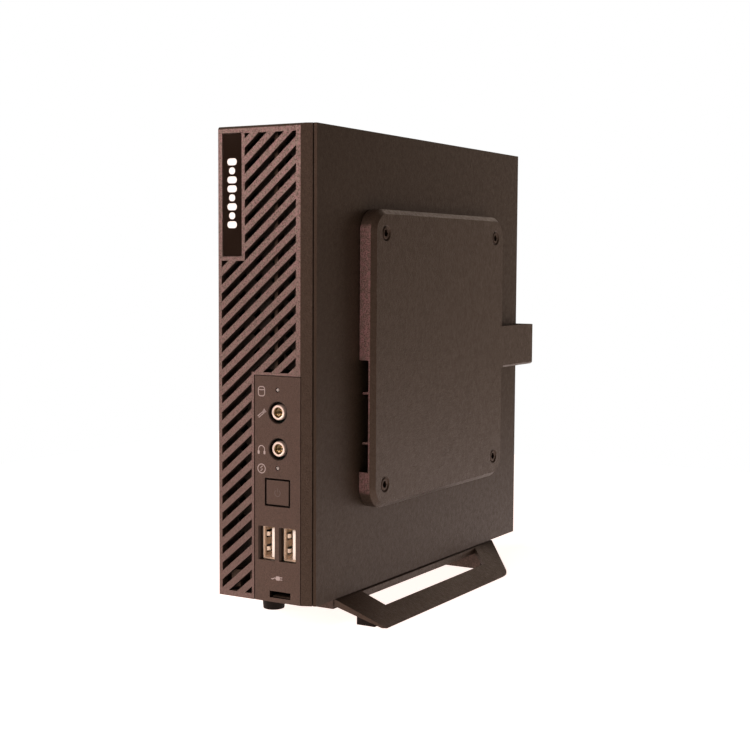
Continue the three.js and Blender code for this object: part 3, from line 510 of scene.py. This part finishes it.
def turned(mesh, place, rings, steps, close_start=True, closed=False):
    """Skins a list of rings (radius, out, shape) around the out axis.

    Both ends are filled, unless the start is left open or the last ring is closed on to the first.
    """
    loops = []
    for ring in rings:
        radius, out = ring[:2]
        shape = ring[2] if len(ring) > 2 else circle
        loop = []
        for step in range(steps):
            angle = 2 * math.pi * step / steps
            reach = radius * shape(angle)
            loop.append(mesh.verts.new(place(reach * math.cos(angle), reach * math.sin(angle), out)))
        loops.append(loop)
    pairs = list(zip(loops, loops[1:]))
    if closed:
        pairs.append((loops[-1], loops[0]))
    for low, high in pairs:
        for step in range(steps):
            after = (step + 1) % steps
            mesh.faces.new((low[step], low[after], high[after], high[step]))
    if close_start and not closed:
        mesh.faces.new(loops[0])
    if not closed:
        mesh.faces.new(reversed(loops[-1]))
    return mesh


def turned_piece(name, place, rings, steps, finish, slot, stands_for=(), **ends):
    """A new turned piece with smooth shading; ends say which of its ends are left open."""
    mesh = turned(bmesh.new(), place, rings, steps, **ends)
    smooth(piece(name, mesh, finish, stands_for=stands_for))


def leaf(mesh, place, path, middle, half):
    """A bent strip of sheet along (across, out) points, reaching half its width to each side."""
    rails = [[mesh.verts.new(place(across, middle + side * half, out)) for across, out in path]
             for side in (-1, 1)]
    for index in range(len(path) - 1):
        mesh.faces.new((rails[0][index], rails[1][index], rails[1][index + 1], rails[0][index + 1]))


def box_of(mesh, place, across, up, out):
    """A closed box between three [low, high] ranges, in a placer's axes."""
    corners = [mesh.verts.new(place(a, u, o)) for a in across for u in up for o in out]
    for loop in ((0, 1, 3, 2), (4, 6, 7, 5), (0, 4, 5, 1), (2, 3, 7, 6), (0, 2, 6, 4), (1, 5, 7, 3)):
        mesh.faces.new([corners[index] for index in loop])


def ribbon(mesh, place, points, width, thick, closed=False):
    """A raised printed line along points in the surface plane, mitred at its corners."""
    count = len(points)
    rails = [[], [], [], []]
    for index, (u, v) in enumerate(points):
        before = points[index - 1] if index or closed else points[index]
        following = points[(index + 1) % count] if index < count - 1 or closed else points[index]
        along = Vector((following[0] - before[0], following[1] - before[1])).normalized()
        normal = Vector((-along.y, along.x)) * width / 2
        for rail, (side, out) in zip(rails, ((1, 0), (-1, 0), (-1, thick), (1, thick))):
            rail.append(mesh.verts.new(place(u + side * normal.x, v + side * normal.y, out)))
    spans = range(count if closed else count - 1)
    for first, second in zip(rails, rails[1:] + rails[:1]):
        for index in spans:
            after = (index + 1) % count
            mesh.faces.new((first[index], first[after], second[after], second[index]))
    if not closed:
        mesh.faces.new([rail[0] for rail in rails])
        mesh.faces.new([rail[-1] for rail in reversed(rails)])


def plate(mesh, place, points, thick):
    """A flat printed shape: an outline in the surface plane raised by its thickness."""
    low = [mesh.verts.new(place(u, v, 0)) for u, v in points]
    high = [mesh.verts.new(place(u, v, thick)) for u, v in points]
    mesh.faces.new(low)
    mesh.faces.new(reversed(high))
    for index in range(len(points)):
        after = (index + 1) % len(points)
        mesh.faces.new((low[index], low[after], high[after], high[index]))


def arc(centre, radius, start, end, steps=20):
    """Points on an arc in the surface plane; angles are degrees from across towards up."""
    turns = [math.radians(start + (end - start) * step / steps) for step in range(steps + 1)]
    return [(centre[0] + radius * math.cos(turn), centre[1] + radius * math.sin(turn)) for turn in turns]


def rounded_outline(centre, width, height, radius, steps=6):
    """A rectangle with round corners, as points in the surface plane."""
    points = []
    for side, lift, start in ((1, -1, -90), (1, 1, 0), (-1, 1, 90), (-1, -1, 180)):
        corner = (centre[0] + side * (width / 2 - radius), centre[1] + lift * (height / 2 - radius))
        points += arc(corner, radius, start, start + 90, steps)
    return points


# ---- CAD nodes: finishes and rounded edges ------------------------------------------------------------

# How wide each node's edges are rounded.
EDGE_WIDTH = {
    "front_bezel": 0.15, "io_panel": 0.2, "power_button": 0.3, "label_plate": 0.12, "side_cover": 0.15,
    "chassis": 0.2, "rear_panel": 0.15, "mount_cover": 0.3, "stand": 0.35, "bezel_guard": 0.12,
    "stand_pad_front": 0.5, "stand_pad_rear": 0.5, "io_shield": 0.12, "fan_frame": 0.3,
    "fan_rotor": 0.15, "heatsink": 0.15, "solid_state_drive": 0.4, "drive_bracket": 0.15,
    "network_port": 0.2, "display_port": 0.2, "power_inlet": 0.2, "rear_audio_port": 0.2,
    "memory_socket": 0.15, "memory_module": 0.08, "cell_holder": 0.2, "processor": 0.2,
    "motherboard": 0.1, "front_io_board": 0.1, "coin_cell": 0.2, "power_switch": 0.15,
    "microphone_jack": 0.15, "headphone_jack": 0.15, "switch_plunger": 0.2,
}

# Nodes whose shallow chamfers stay crisp.
SHALLOW = ("front_bezel", "side_cover")


def dress_cad_nodes():
    """Each CAD node takes its slot's finish, and its edges are rounded a little."""
    for part in frame["record"]["subparts"]:
        materials = frame["nodes"][part["node"]].data.materials
        materials.clear()
        materials.append(FINISH[part["material_slot"]])
    for node, width in EDGE_WIDTH.items():
        soften(frame["nodes"][node], width, shallow=node in SHALLOW)


# ---- Front fittings -----------------------------------------------------------------------------------

JACK = {"rim": 3.15, "mouth": 2.2, "bore": 1.8, "grooves": 5, "pitch": 0.9, "spring": 0.16}
USB = {"wall": 0.3, "flare": 0.35, "corner": 0.45, "window": (1.45, 4.75), "window_depth": (-1.7, -6.0)}
USB_SPRING = {"lift": 3.1, "half": 0.85, "thick": 0.22}
USB_CONTACT = {"half": 0.5, "back": 3.2, "across": (0.62, 0.77)}


def jack_fittings(kind):
    """A plated collar, a brass sleeve inside it and the contacts across the bore."""
    face, depth = face_of(f"{kind}_collar", "front")
    place = placer("front", face)
    jack_collar(kind, place, depth)
    jack_sleeve(kind, place)
    jack_contacts(kind, place)


def jack_collar(kind, place, depth):
    """A collar with a rolled rim and a chamfered mouth."""
    rim, mouth = JACK["rim"], JACK["mouth"]
    rings = [(rim, -depth), (rim, -0.45), (rim - 0.12, -0.14), (rim - 0.3, 0.0),
             (mouth + 0.25, 0.0), (mouth, -0.12), (mouth, -0.3), (mouth, -depth)]
    turned_piece(f"{kind}_collar_turned", place, rings, 64, COLLAR, "socket_nickel",
                 stands_for=(f"{kind}_collar",), closed=True)


def jack_sleeve(kind, place):
    """A sleeve with a bevelled mouth and grooves down its bore."""
    mouth, bore = JACK["mouth"], JACK["bore"]
    crest, valley = bore - 0.05, bore - 0.22
    rings = [(mouth - 0.02, -0.2), (mouth - 0.1, -0.3), (bore, -0.75)]
    for groove in range(JACK["grooves"]):
        out = -1.2 - groove * JACK["pitch"]
        rings += [(crest, out), (crest, out - 0.5), (valley, out - 0.6), (valley, out - 0.85)]
    turned_piece(f"{kind}_sleeve", place, rings, 48, BRONZE, "socket_nickel", close_start=False)


def jack_contacts(kind, place):
    """Two sprung leaves bent across the bore."""
    springs = bmesh.new()
    for lift, reach in ((-0.95, 1.15), (0.55, 0.9)):
        bend = [(reach, -2.9), (reach * 0.6, -2.35), (0.0, -2.15), (-reach * 0.6, -2.35), (-reach, -2.9)]
        leaf(springs, place, bend, lift, 0.28)
    thicken(piece(f"{kind}_contact", springs, GOLD), JACK["spring"])


def usb_socket(side):
    """A folded shell with a flared mouth and sprung windows, and the contact tongue standing in it."""
    shell_node = f"usb_shell_{side}"
    face, depth = face_of(shell_node, "front")
    place = placer("front", face)
    low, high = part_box(shell_node)
    half_wide, half_tall = (high.x - low.x) / MM / 2, (high.z - low.z) / MM / 2
    shell = usb_shell_mesh(place, half_wide - USB["wall"] / 2, half_tall - USB["wall"] / 2, depth)
    thicken(piece(f"{shell_node}_folded", shell, FINISH["socket_nickel"],
                  stands_for=(shell_node,)), USB["wall"])
    springs = usb_springs_mesh(place, half_wide)
    thicken(piece(f"usb_springs_{side}", springs, FINISH["socket_nickel"]),
            USB_SPRING["thick"])
    usb_tongue(side, place, depth)


def usb_loop(half_wide, half_tall, ups):
    """The shell's round-cornered section, with a point on each side wall at every height in ups."""
    corner = USB["corner"]
    wide, tall = half_wide - corner, half_tall - corner
    loop = [(half_wide, up) for up in ups]
    loop += arc((wide, tall), corner, 0, 90, 4)[1:]
    loop += arc((-wide, tall), corner, 90, 180, 4)
    loop += [(-half_wide, up) for up in reversed(ups[:-1])]
    loop += arc((-wide, -tall), corner, 180, 270, 4)[1:]
    loop += arc((wide, -tall), corner, 270, 360, 4)[:-1]
    return loop


def usb_shell_mesh(place, half_wide, half_tall, depth):
    """The shell's middle surface: an oblong tube with two windows open in its left wall."""
    inner, outer = USB["window"]
    near_edge, far_edge = USB["window_depth"]
    side_top = half_tall - USB["corner"]
    loop = usb_loop(half_wide, half_tall, [-side_top, -outer, -inner, 0.0, inner, outer, side_top])
    levels = [(0.0, USB["flare"]), (-0.35, 0.12), (-0.8, 0.0), (near_edge, 0.0), (-3.8, 0.0),
              (far_edge, 0.0), (-depth, 0.0)]
    mesh = bmesh.new()
    rows = []
    for out, flare in levels:
        wider, taller = 1 + flare / half_wide, 1 + flare / half_tall
        rows.append([mesh.verts.new(place(across * wider, up * taller, out)) for across, up in loop])
    for (front, _), (back, _), near, far in zip(levels, levels[1:], rows, rows[1:]):
        for index in range(len(loop)):
            after = (index + 1) % len(loop)
            across, up = [(loop[index][axis] + loop[after][axis]) / 2 for axis in (0, 1)]
            on_left = across < -half_wide + 0.01 and inner < abs(up) < outer
            if on_left and far_edge <= back < front <= near_edge:
                continue
            mesh.faces.new((near[index], near[after], far[after], far[index]))
    mesh.faces.new(rows[-1])
    return mesh


def usb_springs_mesh(place, half_wide):
    """Two bent leaves that reach forward through the windows and press inwards."""
    bend = [(0.15, -6.3), (0.3, -5.2), (0.75, -4.0), (1.25, -3.2), (1.3, -2.8), (0.8, -2.3), (0.35, -1.95)]
    path = [(-half_wide + inward, out) for inward, out in bend]
    mesh = bmesh.new()
    for side in (-1, 1):
        leaf(mesh, place, path, side * USB_SPRING["lift"], USB_SPRING["half"])
    return mesh


def usb_tongue(side, place, depth):
    """The moulded tongue on its base, and four gold contacts along it."""
    node = f"usb_tongue_{side}"
    tongue = bmesh.new()
    box_of(tongue, place, (0.75, 2.1), (-6.25, 6.1), (-depth + 2.5, -0.8))
    box_of(tongue, place, (-2.2, 2.2), (-6.0, 6.0), (-depth + 0.5, -depth + 3.0))
    block = piece(f"{node}_moulded", tongue, FINISH["white_plastic"], stands_for=(node,))
    soften(block, 0.18, weld=False)
    contacts = bmesh.new()
    half = USB_CONTACT["half"]
    for lift, reach in ((-3.5, -1.6), (-1.2, -2.4), (1.2, -2.4), (3.5, -1.6)):
        box_of(contacts, place, USB_CONTACT["across"], (lift - half, lift + half),
               (-depth + USB_CONTACT["back"], reach))
    soften(piece(f"usb_contacts_{side}", contacts, GOLD), 0.05, weld=False)


def light_pipe(kind):
    """A domed lens on a stem with a wider foot."""
    node = f"{kind}_light_pipe"
    face, depth = face_of(node, "front")
    dome = [(0.02, 0.0), (0.3, -0.03), (0.52, -0.11), (0.68, -0.25), (0.75, -0.45)]
    rings = [*dome, (0.75, -2.9), (1.4, -3.1), (1.4, -depth)]
    turned_piece(f"{node}_domed", placer("front", face), rings, 32, FINISH["clear_lens"], "clear_lens",
                 stands_for=(node,))


# ---- Printing on the input panel ----------------------------------------------------------------------

PRINT_THICK = 0.03
PRINT_LINE = 0.36
FINE_LINE = 0.34
GLYPH_LINE = 0.3
# Where each icon's middle is: millimetres right of the case's corner and up from it.
ICON_AT = {
    "drive": (21.7, 87.0), "microphone": (21.9, 77.9), "headphones": (21.7, 63.0),
    "power": (21.7, 55.1), "plug": (29.2, 10.1),
}
# The label's mark: bar lengths from the top, their pitch and thickness, and how far down the first one is.
MARK_BARS = (4.7, 3.0, 4.7, 4.7, 3.0, 4.7, 3.0, 4.7)
MARK_SIZE = {"pitch": 3.66, "thick": 2.8, "first": 11.4}


def icon(name, place, lines, shapes=(), width=PRINT_LINE, material=INK, body="root"):
    """Raised print: lines are (points, closed) pairs, and shapes are filled outlines."""
    mesh = bmesh.new()
    for points, closed in lines:
        ribbon(mesh, place, points, width, PRINT_THICK, closed)
    for points in shapes:
        plate(mesh, place, points, PRINT_THICK)
    piece(name, mesh, material, body=body)


def panel_icon(kind, lines, shapes=(), width=PRINT_LINE):
    """An icon on the input panel's front face."""
    x, z = ICON_AT[kind]
    spot = at(x, 0, z)
    spot.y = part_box("io_panel")[0].y
    icon(f"{kind}_icon", placer("front", spot), lines, shapes, width)


def printed_icons():
    """A drive, a microphone, headphones, a power bolt in a ring, and a plug on its lead."""
    drum = rounded_outline((0, 0), 3.1, 3.8, 1.0)
    lid = [(-1.5, 0.72), (0.0, 0.6), (1.5, 0.72)]
    panel_icon("drive", [(drum, True), (lid, False)])

    handle = [(-1.55, -1.75), (0.55, -0.15), (0.05, 0.45), (-2.05, -1.15)]
    head = [(0.7, -0.2), (2.25, 0.75), (1.15, 2.1), (0.1, 0.6)]
    grille = [(0.95, 0.1), (1.75, 0.75), (1.2, 1.45), (0.45, 0.6)]
    panel_icon("microphone", [(handle, True), (grille, True)], [head], FINE_LINE)

    cups = [rounded_outline((side * 1.45, -1.2), 0.95, 1.5, 0.35, 3) for side in (-1, 1)]
    band = arc((0, 0.1), 1.5, 205, -25, 24)
    panel_icon("headphones", [(band, False)], cups)

    ring = arc((0, 0), 1.85, 0, 345, 32)
    bolt = [(0.55, 1.15), (-0.55, 0.2), (0.5, -0.15), (-0.5, -1.15)]
    panel_icon("power", [(ring, True), (bolt, False)])

    body = rounded_outline((0.6, 0), 2.0, 1.7, 0.4, 3)
    prongs = [rounded_outline((2.25, lift), 1.1, 0.36, 0.12, 2) for lift in (-0.45, 0.45)]
    lead = [(-0.4, 0.0), (-1.3, 0.0), (-1.9, -0.45), (-2.7, -0.45)]
    panel_icon("plug", [(lead, False)], [body, *prongs])


def button_glyph():
    """A faint moulded power sign on the button."""
    face, _ = face_of("power_button", "front")
    ring = arc((0, -0.15), 1.35, 125, 415, 28)
    stroke = [(0, 0.2), (0, 1.75)]
    icon("button_glyph", placer("front", face), [(ring, False), (stroke, False)], width=GLYPH_LINE,
         material=GLYPH, body="power_button")


def label_mark():
    """An abstract white mark on the label: a column of rounded bars of two lengths."""
    low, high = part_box("label_plate")
    place = placer("front", Vector(((low.x + high.x) / 2, low.y, high.z)))
    bars = bmesh.new()
    thick = MARK_SIZE["thick"]
    for index, length in enumerate(MARK_BARS):
        middle = (0.0, -MARK_SIZE["first"] - index * MARK_SIZE["pitch"])
        plate(bars, place, rounded_outline(middle, length, thick, thick / 2.2), PRINT_THICK)
    piece("label_mark", bars, MARK)


# ---- Screws and feet ----------------------------------------------------------------------------------

# Radii of the countersunk screws, with the outer radius of the painted shadow ring in each countersink, and
# of the thumbscrews with how deep the head's underside is.
CONE = {"head": 2.6, "shadow_ring": 3.2, "socket": 1.4, "shank": 1.45}
THUMB = {"cross": 2.6, "rim": 3.95, "under": -3.3, "shank": 1.45}
# Head radius and thickness of the pan screws.
BOARD_PAN = (2.8, 1.9)
SMALL_PAN = (2.0, 1.5)
STAND_PAN = (3.0, 1.7)


def countersunk_screw(node, facing):
    """A flat head with a six-sided socket, in a near-black cone of painted shadow lining the countersink; its
    length is the CAD screw's.
    """
    face, reach = face_of(node, facing)
    place = placer(facing, face)
    head, shadow_ring, socket, shank = (CONE[key] for key in ("head", "shadow_ring", "socket", "shank"))
    rings = [(socket - 0.3, -1.55, hexagon), (socket, -1.35, hexagon), (socket, -0.15, hexagon),
             (socket + 0.12, -0.03, hexagon), (2.05, 0.0), (head - 0.2, -0.03), (head, -0.15),
             (head + 0.05, -0.95), (shank, -1.8), (shank, -reach)]
    turned_piece(f"{node}_turned", place, rings, 60, FINISH["black_screw"], "black_screw", stands_for=(node,))
    # Painted shadow: a near-black cone lining the countersink round the head.
    cone = [(shadow_ring, -0.2), (shadow_ring + 0.02, -0.26), (head + 0.06, -0.86), (head + 0.02, -0.82)]
    turned_piece(f"{node}_seat", place, cone, 60, FINISH["black_plastic"], "black_plastic", closed=True)


def thumbscrew(node):
    """A knurled head with a cross slot."""
    face, reach = face_of(node, "rear")
    cross, rim, under, shank = (THUMB[key] for key in ("cross", "rim", "under", "shank"))
    rings = [(0.9 * cross, -1.1, cross_slot), (cross, -0.25, cross_slot), (3.1, -0.2), (3.55, -0.3),
             (rim, -0.7, knurl), (rim, -3.0, knurl), (3.7, under), (shank, under), (shank, -reach)]
    turned_piece(f"{node}_knurled", placer("rear", face), rings, 144, FINISH["bare_steel"], "bare_steel",
                 stands_for=(node,))


def pan_screw(node, facing, head, lift):
    """A domed machine screw with a cross slot."""
    face, reach = face_of(node, facing)
    rings = [(0.4 * head, -0.75 * lift, cross_slot), (0.55 * head, -0.05, cross_slot), (0.62 * head, -0.06),
             (0.85 * head, -0.2), (0.97 * head, -0.5), (head, -lift), (0.45 * head, -lift),
             (0.45 * head, -reach)]
    turned_piece(f"{node}_turned", placer(facing, face), rings, 72, FINISH["bare_steel"], "bare_steel",
                 stands_for=(node,))


def rubber_foot(node):
    """A turned foot with a rolled edge and a recess in its sole."""
    face, tall = face_of(node, "down")
    low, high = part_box(node)
    top = (high.x - low.x) / MM / 2
    sole = top - 0.7
    recess = [(1.5, -2.4), (1.8, -2.2), (1.8, -0.25), (2.05, 0.0)]
    rings = [*recess, (sole - 0.55, 0.0), (sole - 0.15, -0.15), (sole, -0.5), (top - 0.25, 1.0 - tall),
             (top, 0.7 - tall), (top, 0.15 - tall), (top - 0.15, -tall)]
    turned_piece(f"{node}_turned", placer("down", face), rings, 64, FINISH["rubber"], "rubber",
                 stands_for=(node,))


# ---- Stage, light and camera --------------------------------------------------------------------------

# The camera's place is in metres and its angles are in degrees: round from the front, down and rolled.
CAMERA = {"place": (0.31535, -0.56710, 0.15015), "azimuth": 30.291, "tilt": 4.450, "roll": 0.321,
          "lens": 66.876, "sensor": 36.0, "clip": (0.01, 50.0)}
# For each softbox: azimuth from the front, height and distance in metres, size, watts and colour.
SOFTBOXES = {
    "key_left": (-60, 0.45, 1.3, (0.55, 0.9), 14, (1.0, 0.82, 0.77)),
    "key_front": (3, 0.6, 1.0, (0.4, 0.5), 7.4, (1.0, 0.81, 0.77)),
    "rear_fill": (161, 0.22, 1.6, (0.8, 0.9), 1.75, (1.0, 0.76, 0.62)),
    "top_rim": (176, 1.0, 1.5, (0.5, 0.4), 1.7, (1.0, 0.82, 0.70)),
}
WORLD_SEEN = ((1.0, 1.0, 1.0), 1.0)
WORLD_LIGHT = ((1.0, 0.78, 0.63), 0.10)
FLOOR = {"reach": 0.45, "fibre": 40.0, "rough": 0.9, "tints": ((0.58, 0.58, 0.58), (0.62, 0.62, 0.62)),
         "glow": (1.0, 0.85, 0.80, 1.0), "strength": 1.1}


def photo_camera():
    """A camera at the front right, a little above the middle."""
    turn, tilt, roll = (math.radians(CAMERA[key]) for key in ("azimuth", "tilt", "roll"))
    back = Vector((math.sin(turn) * math.cos(tilt), -math.cos(turn) * math.cos(tilt), math.sin(tilt)))
    right = Vector((math.cos(turn), math.sin(turn), 0))
    up = back.cross(right)
    rolled_right = right * math.cos(roll) + up * math.sin(roll)
    rolled_up = up * math.cos(roll) - right * math.sin(roll)
    data = bpy.data.cameras.new("photo_camera")
    data.lens, data.sensor_width = CAMERA["lens"], CAMERA["sensor"]
    data.clip_start, data.clip_end = CAMERA["clip"]
    camera = bpy.data.objects.new("photo_camera", data)
    axes = Matrix((rolled_right, rolled_up, back)).transposed()
    camera.matrix_world = Matrix.Translation(CAMERA["place"]) @ axes.to_4x4()
    SCENE.collection.objects.link(camera)
    SCENE.camera = camera


def softbox(name, azimuth, height, distance, size, power, color):
    """A rectangular area light at an azimuth from the front, aimed at the middle of the case."""
    data = bpy.data.lights.new(name, "AREA")
    data.shape = "RECTANGLE"
    data.size, data.size_y = size
    data.energy = power
    data.color = color
    light = bpy.data.objects.new(name, data)
    target = centre_of("side_cover")
    turn = math.radians(azimuth)
    light.location = (target.x + distance * math.sin(turn), target.y - distance * math.cos(turn), height)
    light.rotation_euler = (target - light.location).to_track_quat("-Z", "Y").to_euler()
    SCENE.collection.objects.link(light)


def white_world():
    """White where the camera looks past the object, and a dim warm white as light."""
    world = bpy.data.worlds.new("studio")
    world.use_nodes = True
    nodes, links = world.node_tree.nodes, world.node_tree.links
    nodes.clear()
    path = nodes.new("ShaderNodeLightPath")
    mixer = nodes.new("ShaderNodeMixShader")
    links.new(path.outputs["Is Camera Ray"], mixer.inputs[0])
    for slot, (color, strength) in enumerate((WORLD_LIGHT, WORLD_SEEN), start=1):
        background = nodes.new("ShaderNodeBackground")
        background.inputs["Color"].default_value = (*color, 1.0)
        background.inputs["Strength"].default_value = strength
        links.new(background.outputs[0], mixer.inputs[slot])
    links.new(mixer.outputs[0], nodes.new("ShaderNodeOutputWorld").inputs["Surface"])
    SCENE.world = world


def pale_floor():
    """A plain floor that glows faintly warm, so that it stays white under the case."""
    mesh = bmesh.new()
    reach = FLOOR["reach"]
    corners = ((-reach, -reach), (reach, -reach), (reach, reach), (-reach, reach))
    mesh.faces.new([mesh.verts.new((x, y, 0.0)) for x, y in corners])
    data = bpy.data.meshes.new("floor")
    mesh.to_mesh(data)
    mesh.free()
    g = Graph("floor_white")
    color = g.mix(g.noise(FLOOR["fibre"], 3.0), *FLOOR["tints"])
    data.materials.append(g.finish(color, FLOOR["rough"], Emission_Strength=FLOOR["strength"],
                                   Emission_Color=FLOOR["glow"]))
    floor = bpy.data.objects.new("floor", data)
    SCENE.collection.objects.link(floor)


def studio():
    """Camera, world, lights and floor."""
    photo_camera()
    white_world()
    for name, settings in SOFTBOXES.items():
        softbox(name, *settings)
    pale_floor()
    SCENE.view_settings.view_transform = "Standard"


# ---- Build --------------------------------------------------------------------------------------------

def fit_front():
    for kind in ("microphone", "headphone"):
        jack_fittings(kind)
    for side in ("left", "right"):
        usb_socket(side)
    for kind in ("drive", "power"):
        light_pipe(kind)
    printed_icons()
    button_glyph()
    label_mark()


def fit_fasteners():
    for index in (1, 2, 3, 4):
        countersunk_screw(f"cover_screw_{index}", "right")
        pan_screw(f"board_screw_{index}", "right", *BOARD_PAN)
    countersunk_screw("hook_screw", "rear")
    for index in (1, 2):
        pan_screw(f"io_board_screw_{index}", "rear", *SMALL_PAN)
    for end in ("bottom", "top"):
        thumbscrew(f"lid_screw_{end}")
    for end in ("front", "rear"):
        rubber_foot(f"foot_{end}")
        pan_screw(f"stand_screw_{end}", "down", *STAND_PAN)


studio()
dress_cad_nodes()
fit_front()
fit_fasteners()
